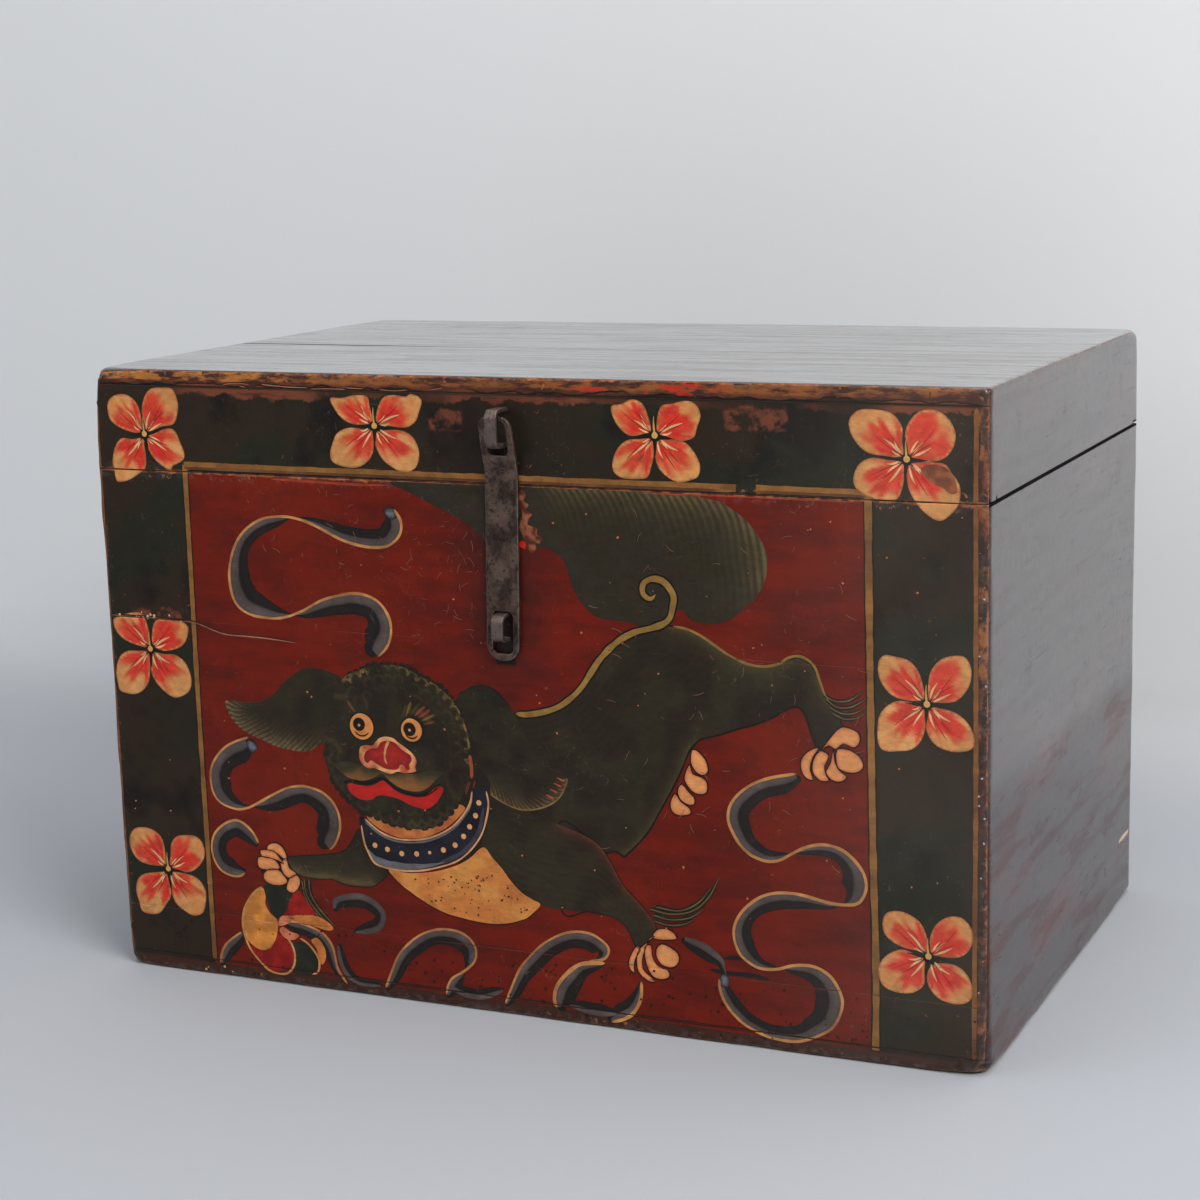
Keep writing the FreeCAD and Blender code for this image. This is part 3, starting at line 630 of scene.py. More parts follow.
def lacquer(name, kind, onBoard=True):
    look = lacquerLook[kind]
    made, shader, place = newMaterial(name)
    fill(shader, {"Coat Roughness": look["roughness"] * 0.6})
    stretch = np.array((1, 14, 14) if look["along"] == "x" else (14, 1, 14), float)

    def streaky(change, scale, detail, roughness=0.55):
        return grain(stretched(place, change), scale, detail, roughness)

    fibres = useGroup(streaks, {
        "Place": stretched(place, stretch), "Light": look["light"], "Dark": look["dark"], "Strength": 0.9,
    })
    x, _, z = split(place)
    level = scaled(grain(place, 24, 3), 0.03, minus(z, 0.015))
    low = ramp(level, 0.15, 0.21, 1, 0.22)
    dull = ramp(level, 0.17, 0.2, 0.45, 1)  # painted shade: the lower part is made duller and darker, for its dimmer reflection
    patch = ramp(streaky(stretch ** 0.5, 5, 4), 0.46, 0.66)
    toned = blend(times(patch, low, look["glowShare"]), fibres["Colour"], look["glow"])
    gap = absolute(minus(z, parting))
    arris = plus(distanceTo("arris", onBoard), ramp(gap, 0.006, 0.009, 20, 0))
    # painted shade: on the sides the dark seam runs only along the parting, for the shade in the gap between
    # lid and box
    if look["along"] == "y":
        seamShare = ramp(gap, 0.002, 0.004, 1, 0)
    else:
        seamShare = ramp(x, -0.2, -0.1, 1, 0.15)
    aged = useGroup(ageing, {
        "Place": place, "Colour": toned, "Under Colour": look["edge"], "Edge": arris,
        "Edge Wear": look["edgeWidth"], "Chips": 0.4, "Scratches": 0.25, "Dirt": 0.3,
        "Gloss Roughness": look["roughness"],
    })
    darkSeam = ramp(distanceTo("edge", onBoard), *look["seam"], seamShare, 0)
    darkSeamShare = times(darkSeam, ramp(arris, 3, 5))
    base = blend(darkSeamShare, aged["Colour"], (14, 11, 10))
    # painted shade: the lower part is darkened towards dark red streaks and its sheen is lowered
    lowerShade = minus(1, dull)
    redStreak = ramp(streaky(stretch ** 0.7, 9, 4), 0.46, 0.62)
    base = blend(lowerShade, base, blend(redStreak, (26, 19, 20), (78, 31, 29)))
    knock = scaled(grain(place, 160, 3), 1.6, farFrom(place, (0, 55, 420), (0, -10.2, -21.7)))
    chip = times(ramp(knock, 1.5, 1.75, 1, 0), ramp(x, 0.3, 0.31))
    base = blend(chip, base, (206, 182, 154))
    rough = plus(aged["Roughness"], times(ramp(streaky(stretch * 2.2, 9, 3), 0.58, 0.72), 0.08))
    thin = ramp(streaky(stretch * 0.8, 12, 5, 0.6), 0.4, 0.66)
    kept = times(scaled(thin, -look["streaky"], 1), minus(1, darkSeamShare), dull, minus(1, chip))
    sheen = scaled(times(lowerShade, redStreak), -0.5, 0.5)
    sheen = times(scaled(lowerShade, -0.22, sheen), minus(1, darkSeamShare))
    fill(shader, {"Coat Weight": times(kept, look["coat"]), "Specular IOR Level": sheen})
    finishShader(shader, base, rough, scaled(fibres["Height"], 0.3, aged["Height"]), look["bump"])
    return made


def bareWood(name, along):
    light = (158, 120, 82)
    made, shader, place = newMaterial(name)
    stretch = (0.35, 12, 12) if along == "x" else (12, 0.35, 12)
    fibres = useGroup(streaks, {"Place": stretched(place, stretch), "Light": light, "Dark": (96, 68, 44)})
    aged = useGroup(ageing, {
        "Place": place, "Colour": fibres["Colour"], "Under Colour": light, "Edge": attribute("edge"),
        "Edge Wear": 0.5, "Chips": 0.1, "Scratches": 0.1, "Dirt": 0.25, "Gloss Roughness": 0.72,
    })
    base = blend(ramp(attribute("edge"), 0.1, 1.4, 0.8, 0), aged["Colour"], (24, 17, 13))
    rim = ramp(absolute(minus(split(place)[2], parting)), 0.002, 0.0035, 0.85, 0)
    base = blend(rim, base, (36, 27, 22))  # painted shade: the two rims that meet are darkened for the shade in the gap between lid and box
    finishShader(shader, base, aged["Roughness"], scaled(fibres["Height"], 1.2, aged["Height"]), 0.6)
    return made


def agedIron(name, shine):  # shine: how far handling has rubbed the black scale off
    made, shader, place = newMaterial(name)
    pits = grain(place, 420, 5, 0.65)
    patch = grain(place, 60, 4, 0.6)
    tone = blend(ramp(patch, 0.4, 0.62), (64, 50, 44), (110, 90, 80))
    rusty = ramp(grain(place, 130, 5, 0.7), 0.54, 0.68)
    tone = blend(rusty, tone, (84, 48, 34))
    tone = blend(ramp(pits, 0.36, 0.5, 0.75, 0), tone, (28, 23, 21))
    rubbed = times(ramp(attribute("edge"), 0.02, 0.09), ramp(patch, 0.4, 0.55, 1, 0.35))
    tone = blend(rubbed, tone, (142, 132, 128))
    tone = blend(times(ramp(patch, 0.35, 0.6, 1, 0.3), shine), tone, (176, 168, 168))
    rough = scaled(rusty, 0.25, scaled(pits, 0.3, 0.26 - 0.14 * shine))
    fill(shader, {"Metallic": scaled(rusty, -0.55, 0.75)})
    finishShader(shader, tone, rough, scaled(patch, 0.5, pits), 0.7, 0.0005)
    return made


lacquerLook = {  # seam: how wide the dark seam beside an edge is, its core and its whole, in mm; a crack on top and back, painted shade of the lid's gap on the sides
    "top": {
        "along": "x", "light": (70, 58, 52), "dark": (40, 32, 29), "glow": (84, 40, 30), "glowShare": 0.3,
        "roughness": 0.16, "edge": (124, 76, 54), "edgeWidth": 1.6, "bump": 0.06, "coat": 0.95,
        "streaky": 0.62, "seam": (1.5, 3.8),
    },
    "side": {
        "along": "y", "light": (62, 48, 45), "dark": (38, 28, 27), "glow": (100, 32, 26), "glowShare": 0.8,
        "roughness": 0.2, "edge": (118, 74, 60), "edgeWidth": 2.2, "bump": 0.06, "coat": 0.5,
        "streaky": 0.18, "seam": (1.1, 2.2),
    },
    "back": {
        "along": "x", "light": (74, 52, 39), "dark": (44, 30, 23), "glow": (84, 44, 30), "glowShare": 0.4,
        "roughness": 0.55, "edge": (128, 88, 56), "edgeWidth": 1.2, "bump": 0.3, "coat": 0,
        "streaky": 0, "seam": (1.5, 3.8),
    },
}
paint = frontPaint("front_paint")
pegPaint = frontPaint("peg_paint", False)
topLacquer = lacquer("top_lacquer", "top")
topPegLacquer = lacquer("top_peg_lacquer", "top", False)
sideLacquer = lacquer("side_lacquer", "side")
backStain = lacquer("back_stain", "back")
backPegStain = lacquer("back_peg_stain", "back", False)
woodX = bareWood("bare_wood_lengthwise", "x")
woodY = bareWood("bare_wood_crosswise", "y")
iron = agedIron("aged_iron", 0)
rubbedIron = agedIron("rubbed_iron", 0.3)
print("finishes made")


# the boards in place

# left, front, foot, right, back and top
outerFinish = [sideLacquer, paint, woodX, sideLacquer, backStain, topLacquer]
boardPlan = {  # node start: body, grid, inside, slot
    "front_board": ("box", 5.0, woodX, "painted_wood"), "back_board": ("box", 9.0, woodX, "lacquered_wood"),
    "left_side_board": ("box", 7.0, woodY, "lacquered_wood"),
    "right_side_board": ("box", 7.0, woodY, "lacquered_wood"),
    "bottom_board": ("box", 8.0, woodX, "lacquered_wood"),
    "lid_front_rail": ("lid", 5.0, woodX, "painted_wood"),
    "lid_back_rail": ("lid", 9.0, woodX, "lacquered_wood"),
    "lid_left_rail": ("lid", 6.0, woodY, "lacquered_wood"),
    "lid_right_rail": ("lid", 6.0, woodY, "lacquered_wood"),
    "lid_top_board": ("lid", 6.0, woodX, "lacquered_wood"),
}
for node in boxBoards + lidBoards:
    plan = next(plan for start, plan in boardPlan.items() if node.startswith(start))
    wornBoard(node, *plan)


def flushPegs(node, body, finish):  # pegs cut level with the worn face, a hair proud of it
    mesh = solidCopy(node, "_flush")
    places = np.array([vert.co[:] for vert in mesh.vertices]) / mm
    for number, plane in enumerate([*trunkLow, *trunkHigh]):
        near = np.abs(places[:, number % 3] - plane) < 0.5
        away, way = hollow(places, near, number)
        places[near, number % 3] = plane + (away - 0.03) * way
    mesh.vertices.foreach_set("co", (places * mm).ravel())
    mesh.materials.clear()
    mesh.materials.append(finish)
    seat(addObject(node + "_flush", mesh), body, "peg_wood", node)


pegFinish = {
    "corner_pegs_front": pegPaint, "lid_corner_pegs_front": pegPaint, "corner_pegs_back": backPegStain,
    "lid_corner_pegs_back": backPegStain, "lid_top_pegs": topPegLacquer, "wall_edge_dowels": woodX,
    "lid_edge_dowels": woodX,
}
for name, finish in pegFinish.items():
    if "pegs" in name:
        flushPegs(name, "lid" if name.startswith("lid") else "box", finish)
    else:
        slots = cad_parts[name].data.materials
        slots.clear()
        slots.append(finish)
print("boards and pegs in place")


# painting: flat shapes are gathered in x and z (mm), then laid on the front as thin coats


def mixed(first, second, share):  # two screen colours, mixed by an array of shares
    share = np.clip(np.asarray(share, float), 0, 1)[..., None]
    return np.array(first, float) * (1 - share) + np.array(second, float) * share


def smoothPath(points, closed=False, step=2.0):
    given = np.array(points, float)
    if closed:
        ring = np.concatenate([given[-1:], given, given[:2]])
    else:
        ring = np.concatenate([2 * given[:1] - given[1:2], given, 2 * given[-1:] - given[-2:-1]])
    path = []
    for before, start, end, after in zip(ring, ring[1:], ring[2:], ring[3:]):
        count = max(1, math.ceil(math.hypot(*(end - start)[:2]) / step))
        for t in np.arange(count) / count:
            bend = 2 * before - 5 * start + 4 * end - after
            twist = 3 * start - before - 3 * end + after
            path.append(0.5 * (2 * start + (end - before) * t + bend * t ** 2 + twist * t ** 3))
    if not closed:
        path.append(given[-1])
    return np.array(path)


def startFilm(body):
    mesh = bmesh.new()
    tint = mesh.verts.layers.float_color.new("tint")
    return {"mesh": mesh, "tint": tint, "lift": mesh.verts.layers.float.new("lift"), "body": body}


def addPatch(film, places, faces, tones, lifts):  # tones are screen colours, lifts are mm off the board
    verts = []
    for (x, z), tone, lift in zip(places, tones, np.broadcast_to(lifts, len(places))):
        vert = film["mesh"].verts.new((x, 0, z))
        vert[film["tint"]] = linear(*tone)
        vert[film["lift"]] = lift
        verts.append(vert)
    for face in faces:
        if ringArea([places[i] for i in face]) > 1e-6:
            film["mesh"].faces.new([verts[i] for i in face])
    for vert in [vert for vert in verts if not vert.link_faces]:
        film["mesh"].verts.remove(vert)


def insideLoop(loop, x, z):
    inside = np.zeros(len(x), bool)
    for (ax, az), (bx, bz) in zip(loop, np.roll(loop, -1, axis=0)):
        if az != bz:
            crosses = (az > z) != (bz > z)
            inside ^= crosses & (x < (bx - ax) * (z - az) / (bz - az) + ax)
    return inside


def rimDistance(loop, x, z):
    squares = (x[:, None] - loop[None, :, 0]) ** 2 + (z[:, None] - loop[None, :, 1]) ** 2
    return np.sqrt(squares.min(axis=1))


def plain(tone):
    return lambda x, z, rim: np.broadcast_to(np.array(tone, float), (len(x), 3))


def rimmed(tone, rimTone, width):
    return lambda x, z, rim: mixed(rimTone, tone, softStep(width * 0.3, width, rim))


def mottled(first, second, size, seed):
    def shade(x, z, rim):
        return mixed(first, second, softStep(-0.35, 0.45, softNoise(x / size, z / size, seed)))
    return shade


def nearPath(path, x, z):  # mm to a path, and mm along it to the nearest spot
    line = smoothPath(path, False, 0.5)
    run = np.concatenate([[0], np.cumsum(np.hypot(*np.diff(line[:, :2], axis=0).T))])
    away = np.hypot(x[:, None] - line[None, :, 0], z[:, None] - line[None, :, 1])
    near = away.argmin(axis=1)
    return away[np.arange(len(x)), near], run[near]


def laidOver(under, shareOf, tone):  # a shade with another tone brushed over it by share
    def shade(x, z, rim):
        base = under(x, z, rim)
        share = np.clip(shareOf(x, z), 0, 1)
        return base + (np.array(tone, float) - base) * share[:, None]
    return shade


def glowing(under, path, tone, reach, strength):  # paler towards a rim
    return laidOver(under, lambda x, z: strength * np.exp(-nearPath(path, x, z)[0] / reach), tone)


def combed(under, path, tone, reach, spacing, lean, seed):  # strands that run in from a rim and fade
    def shareOf(x, z):
        away, run = nearPath(path, x, z)
        phase = (run + lean * away + softNoise(x / 9, z / 9, seed)) / spacing
        strand = 0.5 + 0.5 * np.cos(2 * math.pi * phase)
        return np.exp(-((away / reach) ** 1.6)) * (0.12 + 0.88 * strand ** 1.4)
    return laidOver(under, shareOf, tone)


def banded(under, path, tone, spacing, strength):  # faint lines beside a rim
    def shareOf(x, z):
        away = nearPath(path, x, z)[0] + 1.2 * softNoise(x / 25, z / 25, 5)
        return strength * (0.5 + 0.5 * np.cos(2 * math.pi * away / spacing)) * np.exp(-away / 70)
    return laidOver(under, shareOf, tone)


def curled(under, path, tone, depth, wide, strength, seed):  # a row of small curls along a rim
    def shareOf(x, z):
        away, run = nearPath(path, x, z)
        step = np.floor(run / wide)
        local = (run / wide - step - 0.5) * wide * (1 + 0.2 * np.sin(step * 2.3 + seed))
        bow = np.hypot(local, away - depth)
        line = np.exp(-(((bow - wide * 0.45) / 0.85) ** 2)) * (away < depth + 1)
        return line * strength * softStep(-0.9, 0.3, softNoise(run / 7, away / 7, seed))
    return laidOver(under, shareOf, tone)


def fillShape(film, outline, lift, shade, grid=5.0, step=2.0):
    loop = smoothPath(outline, True, step)
    low, high = loop.min(axis=0), loop.max(axis=0)
    xs, zs = np.meshgrid(np.arange(low[0], high[0], grid), np.arange(low[1], high[1], grid))
    x, z = xs.ravel() + grid * 0.3, zs.ravel() + grid * 0.3
    keep = insideLoop(loop, x, z)
    x, z = x[keep], z[keep]
    keep = rimDistance(loop, x, z) > grid * 0.45
    places = [tuple(p) for p in loop] + list(zip(x[keep], z[keep]))
    edges = [(i, (i + 1) % len(loop)) for i in range(len(loop))]
    verts, _, faces, *_ = delaunay_2d_cdt(places, edges, [], 1, 1e-5)
    verts = [(vert[0], vert[1]) for vert in verts]
    x, z = np.array(verts).T
    addPatch(film, verts, faces, shade(x, z, rimDistance(loop, x, z)), lift)


def offsets(path):  # unit steps to the left of a path
    ways = np.gradient(path[:, :2], axis=0)
    ways = ways / np.maximum(np.linalg.norm(ways, axis=1), 1e-6)[:, None]
    return np.stack([-ways[:, 1], ways[:, 0]], axis=1)


def brushLine(film, points, width, tone, lift, taper=(2.5, 2.5), step=2.2, faded=None):
    # points may carry a third number, the width there
    path = smoothPath(points, False, step)
    along = np.concatenate([[0], np.cumsum(np.hypot(*np.diff(path[:, :2], axis=0).T))])
    wide = path[:, 2] if path.shape[1] > 2 else np.full(len(path), float(width))
    wide = wide * (1 + 0.16 * softNoise(along / 7, along * 0 + len(path) * 0.7, 3))
    start, end = taper
    if start:
        wide = wide * np.sqrt(np.clip(along / start, 0.02, 1))
    if end:
        wide = wide * np.sqrt(np.clip((along[-1] - along) / end, 0.02, 1))
    side = offsets(path) * wide[:, None] / 2
    left, right = path[:, :2] + side, path[:, :2] - side
    count = len(path)
    places = [tuple(p) for p in right] + [tuple(p) for p in left]
    faces = [(i, i + 1, count + i + 1, count + i) for i in range(count - 1)]
    rub = softNoise(along / 5, along * 0 + len(path) * 0.3, 5)
    tones = np.array(tone, float) * (0.93 + 0.1 * rub)[:, None]
    if faded:
        bare = 0.7 * softStep(-0.1, 0.9, softNoise(along / 16, along * 0 + len(path) * 0.9, 8))
        tones = tones + (np.array(faded) - tones) * bare[:, None]
    addPatch(film, places, faces, list(tones) * 2, lift)


ribbonLook = {
    "cream": (204, 142, 84), "grey": (68, 58, 55), "pale": (110, 100, 95), "black": (27, 21, 20),
    "worn": (140, 84, 54), "creamWidth": 1.7, "greyShare": 0.4, "lift": 0.16, "creamLift": 0.22, "seed": 9,
}


def ribbon(film, points, cream=None):
    # points: x, z and the signed width of the shaded band beside the cream line, left of the way it runs
    look = ribbonLook
    path = smoothPath(points, False, 2.2)
    count = len(path)
    along = np.arange(count)
    path[:, 2] *= np.clip(np.sqrt((np.minimum(along, along[::-1]) + 1.4) / 5), 0, 1)
    path[:, 2] *= 1 + 0.07 * softNoise(along / 4, along * 0 + count * 0.37, 13)
    across = [0.0, look["greyShare"] * 0.5, look["greyShare"], look["greyShare"] + 0.1, 0.8, 1.0]
    side = offsets(path)
    streak = softNoise(along / 5, along * 0 + 0.5, look["seed"]) * 0.5 + 0.5
    places = []
    tones = []
    lifts = []
    for column, share in enumerate(across):
        spot = path[:, :2] + side * (path[:, 2:3] * share)
        for _ in range(int(10 * share)):
            spot[1:-1] = (spot[:-2] + 2 * spot[1:-1] + spot[2:]) / 4
        places += [tuple(point) for point in spot]
        if column <= 2:
            tones += list(mixed(look["grey"], look["pale"], streak * (0.75 if column == 1 else 0.35)))
        else:
            tones += list(mixed(look["black"], look["grey"], streak * (0.3 if column == 4 else 0.08)))
        lifts += [look["lift"] - 0.06 * share] * count
    faces = []
    for start in range(0, count * (len(across) - 1), count):
        for i in range(count - 1):
            a, b = start + i, start + count + i
            positive = path[i, 2] + path[i + 1, 2] > 0
            faces.append((a, a + 1, b + 1, b) if positive else (b, b + 1, a + 1, a))
    addPatch(film, places, faces, tones, lifts)
    for end in (0, -1):
        wide = path[end, 2]
        spot = path[end, :2] + side[end] * wide * 0.52
        dot(film, spot, abs(wide) * 0.42, look["black"], look["lift"] - 0.065)
    if cream is not False:
        line = [point[:2] for point in points]
        wide = cream or look["creamWidth"]
        brushLine(film, line, wide, look["cream"], look["creamLift"], faded=look["worn"])


def dot(film, centre, radius, tone, lift, sides=14):
    turns = np.linspace(0, 2 * math.pi, sides, endpoint=False)
    places = [(centre[0] + radius * math.cos(t), centre[1] + radius * math.sin(t)) for t in turns]
    addPatch(film, places, [tuple(range(sides))], [tone] * sides, lift)


coat = {"depth": 0.35, "cut": 0.3}  # mm that a coat reaches into the board and keeps to a rim


def layOnFront(film, name):  # cuts the shapes at the seams and lays them on the front as closed coats
    mesh = film["mesh"]
    body = film["body"]
    planes = [seam + step for seam in frontSeams for step in (-1.5, -0.7, 0, 0.7, 1.5)]
    rim = boxRim - coat["cut"] if body == "box" else lidFoot + coat["cut"]
    side = 1 if body == "box" else -1
    planes += [rim - side * 0.5, rim - side * 1.2]
    for plane in planes + [rim]:
        parts = mesh.verts[:] + mesh.edges[:] + mesh.faces[:]
        last = plane == rim
        bmesh.ops.bisect_plane(mesh, geom=parts, dist=1e-4, plane_co=(0, 0, plane),
                               plane_no=(0, 0, side if last else 1), clear_outer=last)
    mesh.verts.ensure_lookup_table()
    mesh.verts.index_update()
    flat = np.array([vert.co[:] for vert in mesh.verts])
    tints = np.array([vert[film["tint"]][:] for vert in mesh.verts])
    lifts = np.array([vert[film["lift"]] for vert in mesh.verts])
    tops = [[vert.index for vert in face.verts] for face in mesh.faces]
    mesh.free()
    count = len(flat)
    front = frontFace(flat[:, 0], flat[:, 2]) - lifts
    upper = np.stack([flat[:, 0], front, flat[:, 2]], axis=1)
    lower = upper + [0, coat["depth"], 0]
    ways = {(face[i - 1], face[i]) for face in tops for i in range(len(face))}
    faces = tops + [[v + count for v in face[::-1]] for face in tops]
    faces += [[b, a, a + count, b + count] for a, b in ways if (b, a) not in ways]
    shell = bpy.data.meshes.new(name)
    shell.from_pydata([tuple(p) for p in np.concatenate([upper, lower]) * mm], [], faces)
    paintTint = shell.attributes.new("tint", "FLOAT_COLOR", "POINT")
    paintTint.data.foreach_set("color", np.tile(tints, (2, 1)).ravel())
    shell.materials.append(folkPaint)
    shell.polygons.foreach_set("use_smooth", [True] * len(faces))
    shell.set_sharp_from_angle(angle=math.radians(40))
    seat(addObject(name, shell), body, "painted_wood")


def brushedPaint():
    made, shader, place = newMaterial("brushed_paint")
    fill(shader, {"Specular IOR Level": 0.2})
    strokes = ramp(grain(stretched(place, (1, 1, 2.2)), 130, 4, 0.65), 0.3, 0.7, 0.86, 1.12)
    aged = useGroup(ageing, {
        "Place": place, "Colour": blend(1, attribute("tint", "Color"), grey(strokes), "MULTIPLY"),
        "Under Colour": (74, 34, 24), "Edge": 60, "Edge Wear": 0, "Chips": 0.5, "Scratches": 0.15,
        "Dirt": 0.35, "Gloss Roughness": 0.44,
    })
    # painted sheen towards the right, as on the boards
    finishShader(shader, sheenedRight(place, aged["Colour"]), aged["Roughness"], aged["Height"], 0.5)
    return made


folkPaint = brushedPaint()


# repeated strokes and marks, by geometry nodes


def markTree(name, inputs):
    whole = [("Geometry", "Geometry")]
    return openTree(name, "GeometryNodeTree", whole + inputs + [("Material", "Material")], whole)


def laidOut(given, spots, turned, size):  # a stroke on every spot, made real and given its paint
    stroke = put("GeometryNodeObjectInfo", {"Object": given["Stroke"]})
    laid = put("GeometryNodeInstanceOnPoints", {
        "Points": spots.outputs["Points"], "Instance": stroke.outputs["Geometry"],
        "Rotation": turned.outputs[0], "Scale": size,
    })
    real = put("GeometryNodeRealizeInstances", {"Geometry": laid.outputs[0]})
    painted = put("GeometryNodeSetMaterial", {"Geometry": real.outputs[0], "Material": given["Material"]})
    return closeTree({"Geometry": painted.outputs[0]})


def randomBetween(low, high, seed):
    inputs = {"Min": low, "Max": high, "Seed": seed}
    return put("FunctionNodeRandomValue", inputs, data_type="FLOAT").outputs[1]


def buildRow():  # one stroke after another along a path, leaning from it
    given = markTree("row_of_strokes", [
        ("Stroke", "Object"), ("Count", "Int"), ("Lean", "Float"), ("Length", "Float"), ("Spread", "Float"),
        ("Width", "Float"), ("Seed", "Int"),
    ])
    curve = put("GeometryNodeMeshToCurve", {"Mesh": given["Geometry"]})
    spots = put("GeometryNodeCurveToPoints", {"Curve": curve.outputs[0], "Count": given["Count"]})
    along = {"Vector": spots.outputs["Tangent"]}
    turned = put("FunctionNodeAlignRotationToVector", along, axis="X", pivot_axis="Y")
    lean = plus(given["Lean"], randomBetween(-0.16, 0.16, given["Seed"]))
    lean = put("ShaderNodeCombineXYZ", {"Y": lean})
    leaning = {"Rotation": turned.outputs[0], "Rotate By": lean.outputs[0]}
    turned = put("FunctionNodeRotateRotation", leaning, rotation_space="LOCAL")
    longer = scaled(given["Spread"], randomBetween(-1.0, 1.0, given["Seed"]), 1.0)
    length = times(given["Length"], longer)
    size = put("ShaderNodeCombineXYZ", {"X": length, "Y": 1.0, "Z": times(given["Width"], longer)})
    return laidOut(given, spots, turned, size.outputs[0])


def buildScatter():  # marks thrown over a patch, each with its own turn and size
    given = markTree("scattered_marks", [
        ("Stroke", "Object"), ("Density", "Float"), ("Smallest", "Float"), ("Largest", "Float"),
        ("Turn", "Float"), ("Seed", "Int"),
    ])
    spots = put("GeometryNodeDistributePointsOnFaces", {
        "Mesh": given["Geometry"], "Density": given["Density"], "Seed": given["Seed"],
    })
    turned = put("ShaderNodeCombineXYZ", {"Y": times(given["Turn"], randomBetween(-1.0, 1.0, given["Seed"]))})
    size = randomBetween(given["Smallest"], given["Largest"], plus(given["Seed"], 7.0))
    return laidOut(given, spots, turned, size)


rowTree = buildRow()
scatterTree = buildScatter()


def flatShape(name, outline):  # a small flat outline in x and z, to be repeated
    return addObject(name, flatMesh(name, outline, faces=[tuple(range(len(outline)))]))


def repeatInto(film, source, tree, values, tone, lift):  # adds what a tree makes of a mesh
    holder = addObject("repeat_source", source)
    modifier = holder.modifiers.new("repeat", "NODES")
    modifier.node_group = tree
    sockets = {item.name: item.identifier for item in tree.interface.items_tree if item.in_out == "INPUT"}
    for label, value in values.items():
        modifier[sockets[label]] = value
    modifier[sockets["Material"]] = folkPaint
    made = bpy.data.meshes.new_from_object(holder.evaluated_get(bpy.context.evaluated_depsgraph_get()))
    places = [(vert.co.x, vert.co.z) for vert in made.vertices]
    rings = [list(polygon.vertices) for polygon in made.polygons]
    faces = [ring if ringArea([places[i] for i in ring]) > 0 else ring[::-1] for ring in rings]
    holder.modifiers.remove(modifier)
    bpy.data.objects.remove(holder)
    bpy.data.meshes.remove(made)
    addPatch(film, places, faces, [tone] * len(places), lift)


bead = flatShape("curl_bead", [
    (-0.5, -0.08), (-0.38, -0.34), (-0.08, -0.5), (0.28, -0.42), (0.5, -0.1), (0.44, 0.26), (0.16, 0.5),
    (-0.2, 0.46), (-0.44, 0.2),
])
speck = flatShape("speck", [(-0.5, -0.1), (-0.1, -0.45), (0.45, -0.3), (0.5, 0.2), (0.1, 0.4), (-0.35, 0.35)])
hair = flatShape("hair_mark", [
    (-0.5, -0.03), (-0.2, 0.03), (0.15, 0.05), (0.5, -0.02), (0.5, 0.02), (0.15, 0.1), (-0.2, 0.08),
    (-0.5, 0.01),
])


def strokeRow(film, path, count, lean, length, spread, width, tone, lift, seed):
    line = smoothPath(path, False, 2.5)
    source = flatMesh("row_path", line, [(i, i + 1) for i in range(len(line) - 1)])
    repeatInto(film, source, rowTree, {
        "Stroke": bead, "Count": count, "Lean": math.radians(lean), "Length": float(length),
        "Spread": float(spread), "Width": float(width), "Seed": seed,
    }, tone, lift)


def scatterMarks(film, outline, density, sizes, turn, tone, lift, seed, shape=speck):
    source = flatMesh("scatter_patch", outline, faces=[tuple(range(len(outline)))])
    repeatInto(film, source, scatterTree, {
        "Stroke": shape, "Density": float(density), "Smallest": float(sizes[0]), "Largest": float(sizes[1]),
        "Turn": math.radians(turn), "Seed": seed,
    }, tone, lift)


# the border lines and the flowers

borderLook = {
    "ochre": (150, 102, 50), "faded": (100, 62, 36), "thin": (140, 88, 44), "dark": (24, 19, 16),
    "flash": (168, 60, 32), "lift": 0.12,
    "wide": {"left": 3.8, "right": 4.6, "cross": 5.4, "crossEnd": 5.4},
    "left": [(-257.5, 382), (-257.6, 300), (-257.8, 200), (-257.2, 100), (-256.5, 12)],
    "right": [(253.5, 381), (254, 300), (255, 200), (256, 130), (257, 90), (257.3, 50), (256.8, 10)],
    "cross": [(-258, 381.6), (-180, 381.4), (-60, 381.2), (60, 381), (164, 381)],
    "crossEnd": [(178, 381.2), (215, 381.1), (252, 381)],
    "outerRight": [(323.8, 437), (323.6, 380), (323.9, 300), (324.2, 180), (323.8, 90), (323.6, 12)],
    "outerLeft": [(-329.6, 430), (-329.8, 379), (-329.9, 260), (-329.6, 140), (-329.6, 14)],
    "seamLines": [
        ([(-255, 378.2), (-80, 378), (80, 377.8), (250, 377.8)], 1.4, "dark", (2.5, 2.5)),
        ([(-186, 374.4), (-150, 373.6), (-118, 373), (-92, 373.4)], 1.8, "flash", (14, 14)),
        ([(96, 375.4), (150, 375.6), (200, 375.4), (248, 375.2)], 0.7, "flash", (20, 20)),
    ],
}


def paintBorder(film):
    look = borderLook
    for key, wide in look["wide"].items():
        brushLine(film, look[key], wide, look["ochre"], look["lift"], (0, 0), faded=look["faded"])
    for key in ("cross", "crossEnd"):  # the worn lower half
        low = [(x, z - 1.8) for x, z in look[key]]
        brushLine(film, low, 2.0, look["faded"], look["lift"] + 0.03, (6, 6), faded=look["ochre"])
    for key, wide, faded in (("outerRight", 3.2, (88, 50, 32)), ("outerLeft", 1.5, (60, 36, 26))):
        brushLine(film, look[key], wide, look["thin"], look["lift"], (2, 2), faded=faded)
    for path, wide, tone, taper in look["seamLines"]:
        brushLine(film, path, wide, look[tone], 0.13, taper)
    for side, offset in (("left", -2.3), ("left", 2.3), ("right", -2.9), ("right", 2.9)):
        brushLine(film, [(x + offset, z) for x, z in look[side]], 0.8, look["dark"], 0.105)


